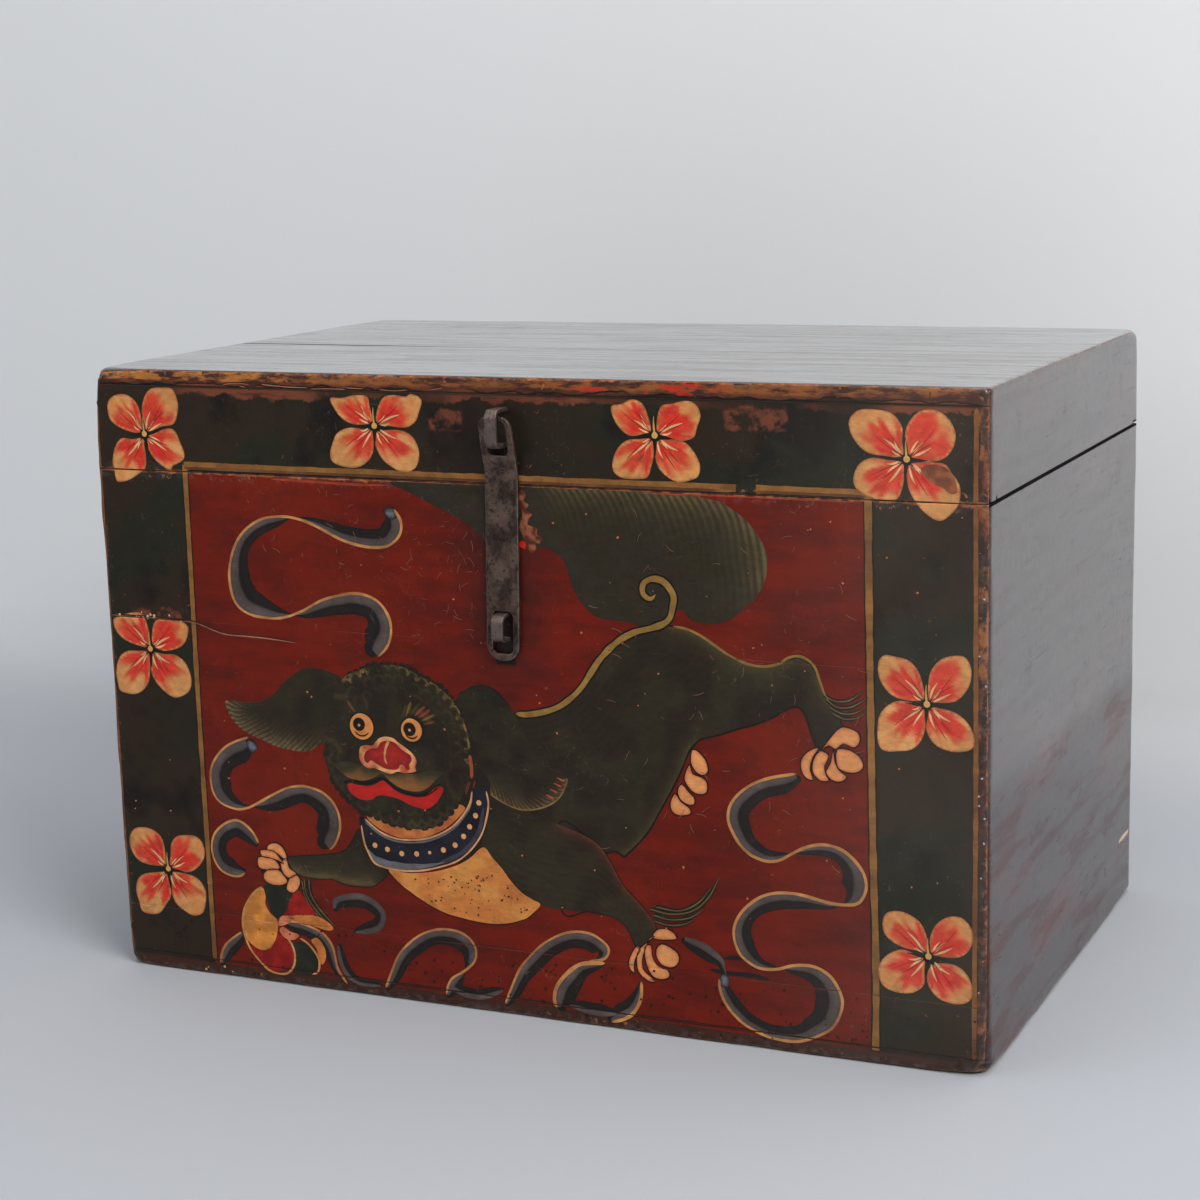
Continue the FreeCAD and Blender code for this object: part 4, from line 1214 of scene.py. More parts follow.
flowerLook = {
    "tan": (206, 150, 88), "coral": (206, 38, 30), "pale": (236, 196, 138), "heart": (28, 24, 19),
    "ripe": (196, 104, 52), "deep": (184, 36, 28), "closer": 2.6, "dot": (206, 158, 88),
    "edge": (120, 50, 34), "lift": 0.16, "seed": 31,
    "veins": [
        (-0.34, 14, "pale"), (-0.06, 18, "pale"), (0.22, 15, "pale"), (-0.2, 24, "deep"),
        (0.08, 25, "deep"),
    ],
}

flowers = [  # heart, the bodies it lies on, petals
    ((-290, 403), ("lid", "box"), [
        [(-293, 407.5), (-292, 415), (-293.5, 422), (-297.5, 428), (-304, 431.3), (-312, 431),
         (-318.8, 427), (-320.4, 420), (-318, 412), (-308.5, 406.5), (-298, 404)],
        [(-289, 411), (-291, 420), (-288, 430), (-282, 436), (-273, 437), (-264, 436), (-260, 427),
         (-261, 418), (-265, 411), (-275, 409), (-284, 406)],
        [(-284, 402), (-277, 406), (-268, 408), (-263, 405), (-260, 398), (-257, 390), (-259, 385),
         (-267, 381), (-270, 378), (-277, 381), (-284, 387), (-288, 394)],
        [(-292, 398), (-301, 399), (-310, 399.5), (-316, 393), (-319, 383), (-318, 376), (-316, 368),
         (-307, 369), (-299, 373), (-291, 379), (-290, 388), (-291, 394)],
    ]),
    ((-101, 414), ("lid",), [
        [(-103, 419), (-104, 428), (-106, 434.5), (-116, 435), (-126, 433), (-135, 432.5), (-131, 424),
         (-125, 418), (-117, 415), (-108, 416)],
        [(-97, 418), (-98, 426), (-93, 434), (-85, 436), (-76, 435), (-71, 437), (-63.5, 433), (-66, 424),
         (-69, 418), (-76, 414), (-88, 414.5)],
        [(-104, 409), (-111, 411.5), (-121, 412.5), (-130, 409), (-134, 403), (-137, 394), (-135, 388),
         (-126, 385), (-116, 385), (-108, 389), (-103, 396), (-102, 404)],
        [(-98, 408), (-90, 411.5), (-79, 411.5), (-71, 407), (-67, 398), (-68, 390), (-72, 385), (-80, 383),
         (-90, 387), (-97, 393), (-101, 402)],
    ]),
    ((108, 413.5), ("lid",), [
        [(104, 419), (103, 428), (99, 435), (92, 437), (85, 434), (77.5, 432), (79, 424), (84, 417),
         (91, 413), (99, 415)],
        [(112, 417), (110, 425), (113, 433), (121, 435), (130, 437), (137, 435), (140.5, 428), (138, 420),
         (135, 413), (125, 410.5), (117, 412)],
        [(104, 410), (97, 411), (88, 410), (81, 404), (77.5, 396), (78, 389), (84, 385), (94, 384.5),
         (102, 386), (105, 393), (107, 401)],
        [(111, 408), (120, 411), (129, 410), (136, 403), (139.5, 395), (138, 388), (132, 385), (124, 383.5),
         (116, 387), (110, 393), (108, 401)],
    ]),
    ((279, 403.5), ("lid", "box"), [
        [(274, 407), (276, 416), (276, 424), (270, 432), (260, 434.5), (248, 434), (241.5, 428), (242, 420),
         (247, 412), (254, 407), (264, 405.5)],
        [(279, 411), (278, 420), (281, 428), (288, 434.5), (298, 435), (306, 430), (310.5, 421), (309, 412),
         (303, 405), (293, 402.5), (284, 405)],
        [(284, 400), (302, 402), (308, 396), (313, 389), (313.5, 380), (311, 374), (304, 367), (298, 366),
         (290, 371), (284, 378), (280, 386), (279, 395)],
        [(275, 400), (266, 403), (256, 404), (248, 400), (244, 392), (245, 385), (252, 380), (262, 377),
         (272, 378), (276, 385), (277.5, 394)],
    ]),
    ((-296.5, 245), ("box",), [
        [(-298, 251), (-297, 258), (-299, 266), (-303, 271.5), (-311, 271.5), (-320, 269), (-327, 266),
         (-327.5, 262), (-325, 256), (-319, 251), (-311, 248), (-302, 247)],
        [(-293, 251), (-294, 259), (-291, 266), (-286, 268), (-276, 267.5), (-267, 267), (-262.5, 263),
         (-264, 256), (-268, 250), (-276, 246), (-286, 244.5)],
        [(-300, 241), (-308, 243), (-318, 242), (-325, 236), (-328, 226), (-327, 217), (-325, 211.5),
         (-314, 210), (-306, 213), (-300, 220), (-298, 229), (-298, 237)],
        [(-293, 240.5), (-284, 242), (-275, 242), (-267, 237), (-263, 228), (-263, 220), (-267, 214),
         (-277, 210), (-285, 213), (-293, 220), (-297, 228), (-296, 235)],
    ]),
    ((-293, 78), ("box",), [
        [(-297, 83), (-295, 92), (-297, 101), (-303, 106.5), (-312, 108.5), (-321, 106.5), (-326, 99),
         (-325, 90), (-320, 83), (-312, 80), (-303, 80)],
        [(-289, 81), (-290, 90), (-289, 98), (-284, 104), (-276, 106), (-268, 106), (-262, 102), (-260, 93),
         (-264, 85), (-271, 79), (-280, 77)],
        [(-298, 73.5), (-306, 74), (-315, 72), (-321, 67), (-323, 58), (-321, 50), (-319, 43), (-312, 41),
         (-303, 43), (-297, 50), (-292, 58), (-293, 68)],
        [(-287, 75), (-279, 76), (-270, 74.5), (-264, 70), (-261, 63), (-262, 54), (-265, 47), (-273, 44),
         (-281, 47), (-288, 52), (-291, 60), (-290, 68)],
    ]),
    ((292, 247), ("box",), [
        [(289, 253), (289, 261), (286, 269), (280, 275), (271, 277), (264, 277.5), (260, 273), (260, 264),
         (264, 256), (271, 250.5), (281, 249)],
        [(294, 253), (293, 262), (295, 270), (301, 277), (309, 280), (317, 279.5), (321, 272), (320, 262),
         (315, 254), (309, 250), (300, 249.5)],
        [(288, 244), (281, 248), (272, 248), (264, 243), (260, 236), (259, 226), (260, 218), (264, 214.5),
         (273, 215), (282, 217), (288, 223), (291, 232), (290, 240)],
        [(295, 243), (302, 245), (311, 243), (319, 237), (323, 228), (322, 221), (315, 218), (306, 218),
         (298, 221), (293, 227), (291, 235)],
    ]),
    ((293, 79), ("box",), [
        [(291, 84), (292, 92), (288, 101), (281, 106), (273, 108), (265, 106), (262, 100), (263, 92),
         (268, 87), (276, 83.5), (284, 83)],
        [(295, 84), (294, 92), (297, 100), (303, 106), (310, 108.5), (317, 107), (322, 100), (322, 91),
         (318, 84), (311, 80.5), (302, 80.5)],
        [(288, 77), (283, 80), (275, 82), (266, 78), (260, 71), (259, 64), (261, 57), (266, 53.5),
         (275, 52), (284, 54), (290, 60), (290, 68)],
        [(297, 72), (303, 75.5), (311, 75.5), (318, 71), (322, 63), (322, 55), (318, 50.5), (310, 49),
         (301, 51), (295, 56), (292, 63), (293, 69)],
    ]),
]


def petalShade(heart):
    look = flowerLook

    def shade(x, z, rim):
        out = np.hypot(x - heart[0], z - heart[1])
        streak = softNoise(np.arctan2(z - heart[1], x - heart[0]) * 10 + 32, out / 22, look["seed"])
        hills = softNoise(x / 8, z / 8, look["seed"] + 2)
        share = softStep(0.2, 2.2, rim) * (1 - 0.94 * softStep(20, 33, out + 6 * hills + 8 * streak))
        tone = mixed(look["tan"], look["coral"], share * (0.92 + 0.25 * streak))
        tone = tone + (np.array(look["ripe"]) - tone) * (softStep(0.1, 0.8, hills) * 0.3)[:, None]
        paler = softStep(0.15, 0.8, streak) * 0.2
        tone = tone + (np.array(look["pale"]) - tone) * paler[:, None]
        return tone + (np.array(look["edge"]) - tone) * (softStep(0.7, 0.0, rim) * 0.55)[:, None]

    return shade


def fromHeart(heart, angle, step, bow=0.0):  # a point so far out from the heart of a flower
    out, across = math.cos(angle), math.sin(angle)
    return heart[0] + out * step - across * bow, heart[1] + across * step + out * bow


def paintFlower(film, heart, petals):
    look = flowerLook
    axes = []
    for petal in petals:
        ways = np.array(petal, float) - heart
        away = np.linalg.norm(ways, axis=1)
        closer = 1 - look["closer"] * np.exp(-(((away - 5) / 6) ** 2)) / away
        petal = heart + ways * closer[:, None]
        fillShape(film, petal, look["lift"], petalShade(heart), 1.5, 1.5)
        middle = petal.mean(axis=0) - heart
        axes.append(math.atan2(middle[1], middle[0]))
    for axis in axes:
        for lean, reach, tone in look["veins"]:
            reach = reach + 4 * math.sin(axis * 7 + lean * 31)
            angle = axis + lean + 0.07 * math.sin(axis * 11 + lean * 17)
            bow = 0.9 * math.sin(axis * 5 + lean * 13)
            path = [fromHeart(heart, angle, 5), fromHeart(heart, angle, (5 + reach) / 2, bow),
                    fromHeart(heart, angle, reach)]
            brushLine(film, path, 1.35 if tone == "pale" else 0.7, look[tone], look["lift"] + 0.03, (2, 6))
    dot(film, heart, 3.9, look["heart"], look["lift"] + 0.05)
    spread = sorted(axes)
    gaps = [(a + b) / 2 for a, b in zip(spread, spread[1:] + [spread[0] + 2 * math.pi])]
    for angle, reach, wide in [(gap, 14.5, 3.4) for gap in gaps] + [(axis, 8.5, 1.6) for axis in axes]:
        path = [(*fromHeart(heart, angle, reach * far), wide * (1 - far * 0.8)) for far in (0, 0.5, 1)]
        brushLine(film, path, wide, look["heart"], look["lift"] + 0.05, (0, 6), 1.5)
    x, z = heart
    stem = [heart, (x - 0.6, z + 8), (x - 0.4, z + 13)]
    brushLine(film, stem, 1.4, look["dot"], look["lift"] + 0.07, (0, 8))
    dot(film, (x, z + 0.4), 2.2, look["dot"], look["lift"] + 0.09, 10)


def paintFlowers(film):
    for heart, bodies, petals in flowers:
        if film["body"] in bodies:
            paintFlower(film, heart, petals)


# the ribbons

ribbons = {
    "a": [
        (-88.5, 357, -14), (-84, 350, -17), (-83.5, 343, -18), (-87, 336.5, -16), (-95, 331, -13),
        (-106, 329.5, -13), (-118, 330.5, -12), (-132, 334, -10.5), (-148, 341, -7), (-160, 345.5, -3.5),
        (-171, 347.7, 0), (-181, 348, 7), (-194, 346, 9.5), (-206, 340, 10), (-215, 331.5, 11),
        (-221, 321, 13), (-224.5, 309, 16), (-225, 299, 18), (-223, 288, 21), (-218, 280.5, 21),
        (-209, 276, 19), (-198, 274.5, 15), (-187, 274.5, 10), (-178, 276.3, 4), (-171, 279, -3),
        (-165, 281.5, -6.5), (-150, 289.5, -12), (-137, 293.5, -14), (-124, 296, -15), (-113, 295, -15.5),
        (-104, 291, -16), (-98, 284, -18), (-95, 276, -19.5), (-95.5, 267, -20), (-99, 259, -20),
        (-106, 252, -26),
    ],
    "b1": [
        (-217, 185, 20), (-228, 181, 17), (-237, 176, 16.5), (-245, 168, 16), (-250, 159, 17),
        (-251, 149, 17), (-249, 140, 18), (-244, 134, 17), (-236, 131, 12), (-228, 130, 7), (-220, 132, 2),
        (-214, 135, -4), (-207, 139, -9), (-198, 144, -13), (-187, 149.5, -14), (-177, 152, -12.5),
        (-168, 152, -12.5), (-158, 149.5, -14.5), (-150, 144, -16), (-145, 136, -18), (-143.5, 127, -18.5),
        (-145, 119, -19), (-149, 111, -21), (-153, 107, -27),
    ],
    "b2": [
        (-213, 106, 9), (-217, 113, 11), (-223, 118.5, 12), (-231, 121.5, 12.5), (-241, 118, 12),
        (-250, 110, 12), (-253.5, 100, 12), (-252, 90, 13), (-247, 82.5, 14), (-239, 79, 14),
        (-231, 79, 13), (-226, 82, 9),
    ],
    "b3": [(-232, 36, 10), (-239, 31, 10), (-246, 25, 10), (-250, 18, 9), (-252, 10, 8)],
    "b4": [
        (-193, 49, -9), (-183, 49, -9), (-175, 47.5, -9), (-166, 44.5, -9), (-160, 41, -9), (-155, 34, -9),
        (-153, 26, -7), (-151.5, 18, -6), (-148, 12, -3), (-144, 7, 0),
    ],
    "b5": [
        (-112, 8, -7), (-106, 22, -9), (-100, 34, -10), (-91, 44, -11), (-80, 52, -11), (-66, 57, -11),
        (-52, 57, -12), (-43, 53, -13), (-38, 46, -13), (-38.5, 38, -12), (-43, 32, -6), (-50, 26.5, 5),
        (-57, 22, 9), (-61, 16, 10), (-63, 9, 9),
    ],
    "b6": [
        (-16, 8, -6), (-10, 22, -9), (-3, 36, -11), (8, 49, -12), (17, 57, -12), (28, 63.5, -11),
        (38, 67, -11), (49, 67.5, -12), (58, 64.5, -13), (65, 58, -12), (62, 50.5, -4), (50, 47, 0),
    ],
    "b7": [
        (62, 47, 3), (52, 46, 7), (43, 44, 10), (36, 39, 13), (29, 32, 15), (24, 24, 17), (22.5, 16, 16),
        (24, 10, 14),
    ],
    "b8": [(89, 37, -2), (89, 29, -6), (87, 21, -9), (82, 13, -11), (75, 8, -12), (66, 5, -10)],
    "h": [
        (203, 194, 14), (188, 190.5, 12), (178, 187, 12), (169, 182, 13), (161, 175, 13), (156, 167, 14.5),
        (155, 158, 15), (158, 150, 14), (163, 142, 12), (170, 136, 11), (178, 133, 9.5), (185, 132.5, 8),
        (192, 134.5, 6), (200, 139.5, 0), (208, 144, -5), (217, 147, -7), (226, 147.5, -8), (235, 145, -9),
        (243, 139, -12), (249, 131, -16), (251, 122, -18), (248.5, 114, -16), (244, 109.5, -12),
        (236, 108, 0), (228, 108, 4), (218, 109.5, 6.5), (207, 111.5, 9.5), (198, 112, 11),
        (188, 111, 11.5), (178, 107.5, 11), (169, 101, 10), (162, 93, 10), (158, 84, 12), (158, 75, 13),
        (161, 67, 13), (165, 62.5, 12), (173, 58, 8), (181, 57, 5), (190, 58.5, 1), (198, 61.5, -6),
        (207, 63, -9), (216, 62.5, -13), (225, 58, -16), (231, 50, -17), (234, 41, -19), (232, 31, -18),
        (227, 22, -17), (219, 16, -15), (209, 11, -12), (200, 8.5, -11), (190, 8.5, -10), (181, 9.5, -9.5),
        (172, 12.5, -9), (163, 17, -10), (155, 24, -10), (150, 31, -9.5), (147, 39, -8), (146.5, 46, -7),
    ],
}

ribbonThick = {"b7": 2.8, "b8": 2.4, "a": 1.9, "h": 2.0}

darkBands = [  # ribbon backs without a cream line
    [(-151, 35, 7), (-150.5, 24, 7), (-146, 14, 7), (-138, 8, 6), (-127, 6.5, 6), (-116, 8, 5)],
    [(-61, 15, 8), (-50, 9, 8), (-38, 8, 8), (-26, 11, 8), (-17, 17, 6)],
    [(34, 12, 8), (45, 9, 9), (58, 8, 9), (70, 10, 8)],
    [(-153, 63, -10), (-152, 70, -10), (-143, 74.5, -10), (-130, 76.5, -10), (-118, 73, -10),
     (-110, 65, -9), (-110, 57, -9), (-115, 50, -9), (-125, 46.5, -9), (-135, 46, -7)],
    [(122, 73, -10), (130, 72, -10), (138, 69.5, -11), (145, 65, -11), (150, 60, -7), (151, 55, -4),
     (152, 49, -3)],
]

ribbonEnds = {  # short pale caps and smears
    "caps": [
        [(-97, 355), (-93, 358), (-88, 357), (-87, 351), (-92, 350)],
        [(-219, 183), (-212, 182), (-209, 177), (-215, 174)], [(147, 42), (153, 41), (154, 48), (148, 50)],
    ],
    "smears": [
        ([(140, 52), (155, 51), (170, 51.5), (183, 50)], 3.2), ([(150, 61), (158, 62.5), (165, 62)], 3.0),
    ],
    "capTone": (112, 112, 122), "smearTone": (32, 26, 28),
}


def paintRibbons(film):
    for name, points in ribbons.items():
        ribbon(film, points, ribbonThick.get(name))
    for points in darkBands:
        ribbon(film, points, False)
    for outline in ribbonEnds["caps"]:
        fillShape(film, outline, 0.2, rimmed(ribbonEnds["capTone"], ribbonLook["black"], 2), 3)
    for path, wide in ribbonEnds["smears"]:
        brushLine(film, path, wide, ribbonEnds["smearTone"], 0.14, (6, 6))


# the lion

lionLook = {
    "body": (36, 29, 19), "bodyLight": (44, 39, 25), "olive": (112, 94, 58), "rim": (82, 71, 43),
    "ochre": (154, 118, 58), "ink": (20, 18, 15), "tan": (212, 134, 70), "cream": (220, 158, 104),
    "red": (176, 34, 27), "mouth": (184, 34, 25), "nose": (134, 28, 26), "muzzle": (134, 86, 44),
    "muzzleTop": (54, 50, 31), "navy": (22, 21, 28), "slate": (66, 60, 72), "steel": (108, 107, 110),
    "bib": (200, 121, 60), "salmon": (178, 84, 54), "paw": (218, 146, 90), "pawRim": (192, 104, 66),
    "brown": (112, 50, 34), "tail": (46, 40, 29), "rib": (98, 84, 52), "curl": (134, 108, 60),
}

lion = {
    "tail": [
        (-90, 375.5), (-75, 369), (-60, 362), (-45, 355.5), (-32, 349.5), (-22, 341), (-16, 335),
        (0, 334.5), (20, 336), (28, 335), (36, 331), (41, 324), (44, 314), (49, 303), (56, 295), (64, 290),
        (75, 289), (85, 288), (95, 286), (105, 287), (113, 291), (118, 296), (124, 299), (130, 293),
        (140, 290.5), (150, 291), (160, 295), (167, 301), (175, 308), (182, 318), (185, 330), (184, 341),
        (178, 352), (170, 361), (160, 368), (150, 372.5), (135, 374.5), (110, 376), (60, 376.3), (0, 376.3),
        (-50, 376.3),
    ],
    "torso": [
        (-45, 222), (-36, 233), (-25, 237), (-14, 233), (-4, 222), (0, 219), (20, 220), (35, 226),
        (47, 237), (58, 252), (70, 267), (85, 279), (105, 287), (118, 287.5), (130, 285), (145, 277.5),
        (158, 269.5), (172, 265), (185, 265), (195, 269), (205, 272), (213, 269), (219, 260), (223, 250),
        (227, 243), (232, 236), (235, 228), (228, 222), (225, 214), (218, 213), (214, 222), (211, 231),
        (208, 237), (203, 239), (196, 236), (188, 231), (175, 225), (163, 221), (150, 216), (137, 212),
        (133, 209), (128, 203), (125, 196), (119, 183), (112, 170), (105, 158), (98, 146), (90, 136),
        (83, 129), (78, 125), (72, 128), (50, 122), (20, 118), (-20, 130), (-40, 165),
    ],
    "frontLeg": [
        (-30, 160), (0, 150), (30, 143), (52, 136), (62, 129), (70, 117), (77, 105), (86, 96), (94, 88),
        (100, 80), (100, 72), (92, 64), (86, 62), (82, 70), (76, 78), (66, 82), (50, 83), (30, 82),
        (14, 84), (0, 91), (-12, 104), (-22, 114), (-30, 122), (-26, 135), (-22, 150),
    ],
    "leftLeg": [
        (-130, 122), (-140, 108), (-155, 103), (-175, 100), (-190, 97), (-188, 90), (-178, 85), (-165, 84),
        (-152, 85), (-142, 82.5), (-132, 82), (-120, 83), (-112, 88), (-106, 95), (-115, 100), (-122, 110),
        (-128, 125),
    ],
    "head": [
        (-135, 235), (-120, 242), (-105, 246), (-90, 246.5), (-75, 241), (-60, 234), (-48, 224), (-41, 212),
        (-37, 200), (-36, 188), (-36, 175), (-40, 165), (-48, 150), (-58, 138), (-70, 131), (-85, 129),
        (-100, 131), (-115, 135), (-128, 141), (-138, 150), (-147, 160), (-152, 172), (-153, 185),
        (-150, 200), (-147, 212), (-142, 225),
    ],
    "headRim": [
        (-138, 231), (-131, 236), (-120, 242), (-107, 246), (-95, 247), (-84, 246), (-72, 240), (-58, 234),
        (-49, 226), (-42, 215), (-38, 205), (-36, 194), (-36, 182), (-37, 171),
    ],
    "leftEar": [
        (-136, 233), (-145, 238), (-157, 240), (-168, 239), (-178, 233), (-186, 226), (-194, 218),
        (-203, 213), (-214, 211), (-225, 211), (-234, 211), (-233, 204), (-229, 197), (-222, 191),
        (-214, 187), (-204, 184), (-195, 180.5), (-186, 179), (-176, 178), (-166, 179), (-158, 184),
        (-146, 190), (-138, 200), (-132, 215),
    ],
    "leftEarFringe": [
        (-234, 211), (-232, 203), (-228, 196.5), (-222, 191), (-214, 187), (-204, 183.5), (-195, 180.5),
        (-186, 179), (-176, 178),
    ],
    "rightEar": [
        (-46, 222), (-40, 232), (-30, 237), (-20, 236), (-10, 229), (-2, 220), (6, 206), (14, 190),
        (26, 176), (38, 176), (33, 165), (26, 158), (15, 153), (2, 151), (-10, 154), (-22, 160), (-30, 175),
        (-36, 200),
    ],
    "rightEarFringe": [(-22, 160), (-10, 154), (2, 151), (15, 153), (26, 158), (33, 165), (38, 176)],
    "bib": [
        (-105, 97), (-97, 88), (-88, 82), (-76, 75.5), (-62, 70), (-48, 67.5), (-34, 66), (-22, 66),
        (-10, 68), (2, 72.5), (9, 78), (14, 84), (8, 87), (0, 91), (-8, 98), (-15, 107), (-22, 114),
        (-29, 121), (-40, 112), (-52, 105), (-70, 99), (-90, 96),
    ],
    "collar": [
        (-127, 134), (-127, 126), (-125, 115), (-121, 106), (-117, 100), (-108, 97.5), (-95, 96.5),
        (-80, 98), (-65, 102), (-52, 107), (-42, 114), (-34, 122), (-28, 132), (-24, 143), (-22, 153),
        (-24, 163), (-36, 162), (-38, 153), (-43, 145), (-50, 137), (-58, 131), (-68, 126), (-78, 123),
        (-90, 121.5), (-100, 122), (-110, 125), (-118, 130), (-123, 134),
    ],
    "collarInner": [
        (-123, 133), (-118, 129), (-110, 124), (-100, 121), (-90, 120.5), (-78, 122), (-68, 125),
        (-58, 130), (-50, 136), (-43, 144), (-38, 152), (-36, 161),
    ],
    "collarOuter": [
        (-126, 128), (-124, 115), (-120, 106), (-116, 100.5), (-108, 98.3), (-95, 97.3), (-80, 98.8),
        (-65, 102.8), (-52, 107.8), (-43, 114), (-35, 122.5), (-29, 132), (-25.4, 143), (-23.6, 153),
        (-25, 162),
    ],
    "collarSteel": [
        (-122, 111, 2), (-117, 104, 5), (-108, 101.5, 5.5), (-95, 100.5, 5), (-82, 101.6, 4),
        (-70, 104, 2.4), (-60, 107, 1),
    ],
    "collarDots": [
        (-115.5, 114), (-105.5, 112), (-94, 110), (-82, 111), (-71.5, 113), (-60.5, 116), (-51, 120.5),
        (-44, 127.5), (-39, 135), (-34, 143.5), (-31, 153),
    ],
    "chin": [
        (-121, 134), (-112, 127), (-100, 122.5), (-88, 121.5), (-76, 123.5), (-66, 127.5), (-56, 133.5),
        (-48, 140.5), (-42, 148), (-48, 150), (-60, 141), (-75, 136), (-90, 135), (-105, 138), (-115, 140),
    ],
    "muzzle": [
        (-146, 171), (-138, 164), (-130, 161), (-120, 161.5), (-112, 165), (-107, 167.5), (-103, 164),
        (-97, 160), (-88, 157), (-78, 157), (-70, 161), (-63, 168), (-57, 172), (-68, 173), (-80, 169.5),
        (-95, 169), (-112, 170), (-125, 172), (-135, 174),
    ],
    "lip": [
        (-139, 158), (-130, 160), (-122, 159), (-114, 161), (-107, 164), (-101, 161), (-95, 157),
        (-88, 155), (-80, 154), (-74, 155), (-68, 158), (-60, 164),
    ],
    "mouth": [
        (-135.6, 155), (-135, 158.5), (-129, 157.6), (-121.4, 157.3), (-115.3, 158.2), (-110.2, 161),
        (-106.6, 162.4), (-102.2, 159.7), (-97.3, 156.1), (-89.4, 153.5), (-79.4, 153.4), (-71.2, 155.9),
        (-65, 160.9), (-60.3, 162.2), (-58.6, 159.6), (-62.3, 153), (-66.6, 148.1), (-72.8, 144.7),
        (-80, 145.2), (-86, 146.6), (-95.6, 150.3), (-107.6, 151.6), (-112.7, 150.3), (-115.8, 147.8),
        (-121, 146.7), (-127, 147.4), (-131, 149.3), (-134.2, 152.2),
    ],
    "noseRim": [
        (-125, 180), (-123.6, 185.5), (-118.8, 187.3), (-114, 187.2), (-111, 190.5), (-107.5, 193.5),
        (-102.4, 194.7), (-96.8, 194), (-93, 191.2), (-88, 188.4), (-83.8, 185.5), (-80.5, 182.2),
        (-79, 178.7), (-80.4, 173.9), (-79.4, 171.8), (-84.3, 170), (-89.4, 169.3), (-94.4, 170),
        (-99.5, 168), (-104.5, 168.6), (-109.5, 170), (-113.6, 171), (-117.6, 170.4), (-121.6, 172),
        (-124.4, 175.5),
    ],
    "nose": [
        (-121.3, 178), (-119.5, 182.3), (-115, 185.2), (-110, 186), (-107.4, 190), (-102.7, 191.7),
        (-96, 191), (-91.6, 187.3), (-87.7, 184.8), (-83.8, 182.8), (-82.8, 179.3), (-85, 175.5),
        (-84.4, 172.8), (-87.4, 171.8), (-89.2, 174.6), (-91.8, 175.4), (-94.3, 171.8), (-99.4, 170.9),
        (-105.3, 171.6), (-111.3, 174.3), (-115.6, 176.4), (-118, 174.2), (-120.2, 175),
    ],
    "spine": [
        (0, 219, 3), (8, 219, 4), (20, 221.5, 4), (32, 226, 4), (42, 233, 4), (50, 241, 4), (57, 251, 4),
        (64, 261, 4), (72, 269.5, 4), (80, 276, 4), (90, 281.5, 4), (102, 285, 4), (111, 288.5, 4),
        (116, 293, 4.2), (118, 300, 4.4), (119, 307, 4.4), (116, 313, 4.2), (111, 317.5, 4),
        (104, 318.5, 4), (98, 315.5, 3.8), (96.5, 310, 3.4), (99, 306, 3), (103, 305, 2.6), (106, 308, 2),
    ],
    "backLine": [
        (118, 287.5), (128, 286), (138, 282), (148, 276), (158, 270), (170, 265.5), (182, 264.5),
        (192, 267), (198, 271), (205, 273), (212, 271), (217, 266), (220, 258), (223, 250), (226, 245),
    ],
    "bellyRim": [
        (77, 126), (84, 131), (91, 138), (99, 148), (106, 160), (113, 172), (119, 184), (124, 195),
        (128, 204), (134, 210),
    ],
    "legRim": [
        (30, 142.5), (52, 135.5), (62, 128.5), (70, 116.5), (77, 104.5), (86, 95.5), (94, 87.5), (101, 79),
    ],
    "leftLegRim": [
        (-186, 90), (-176, 86.5), (-165, 86), (-152, 87), (-142, 84.8), (-131, 84.2), (-120, 85.5),
    ],
    "neck": [(-50, 108), (-38, 116), (-28, 128), (-21, 142), (-19, 160)],
    "earRoot": [(-50, 154), (-43, 172), (-30, 178), (-22, 168), (-24, 156), (-36, 148)],
    "noseLine": [
        (-100.8, 191.4, 2.2), (-103.1, 186.7, 1.6), (-104.4, 181.2, 1.3), (-104, 177.2, 1.4),
        (-102.7, 174.8, 1.6),
    ],
    "collarShade": [(-66, 105), (-54, 110.5), (-44, 117), (-36, 125.5), (-30.5, 136), (-27.5, 150)],
}

wisps = [
    [(96, 90), (112, 88), (128, 92), (140, 103), (148, 118)], [(98, 86), (112, 84), (126, 87), (136, 94)],
    [(99, 82), (110, 80), (122, 82), (130, 87)], [(224, 246), (232, 241), (242, 242), (253, 249)],
    [(226, 241), (235, 237), (244, 238), (252, 243)], [(228, 237), (237, 233.5), (246, 235), (251, 239)],
    [(-178, 82), (-176, 70), (-170, 60), (-160, 51)], [(-176, 83), (-174.5, 71), (-168, 61), (-157, 50)],
    [(-172, 84), (-171, 72), (-164, 61), (-150, 48)], [(100, 92), (118, 91), (132, 98), (142, 110)],
    [(222, 249), (230, 245), (240, 246), (250, 253)],
]

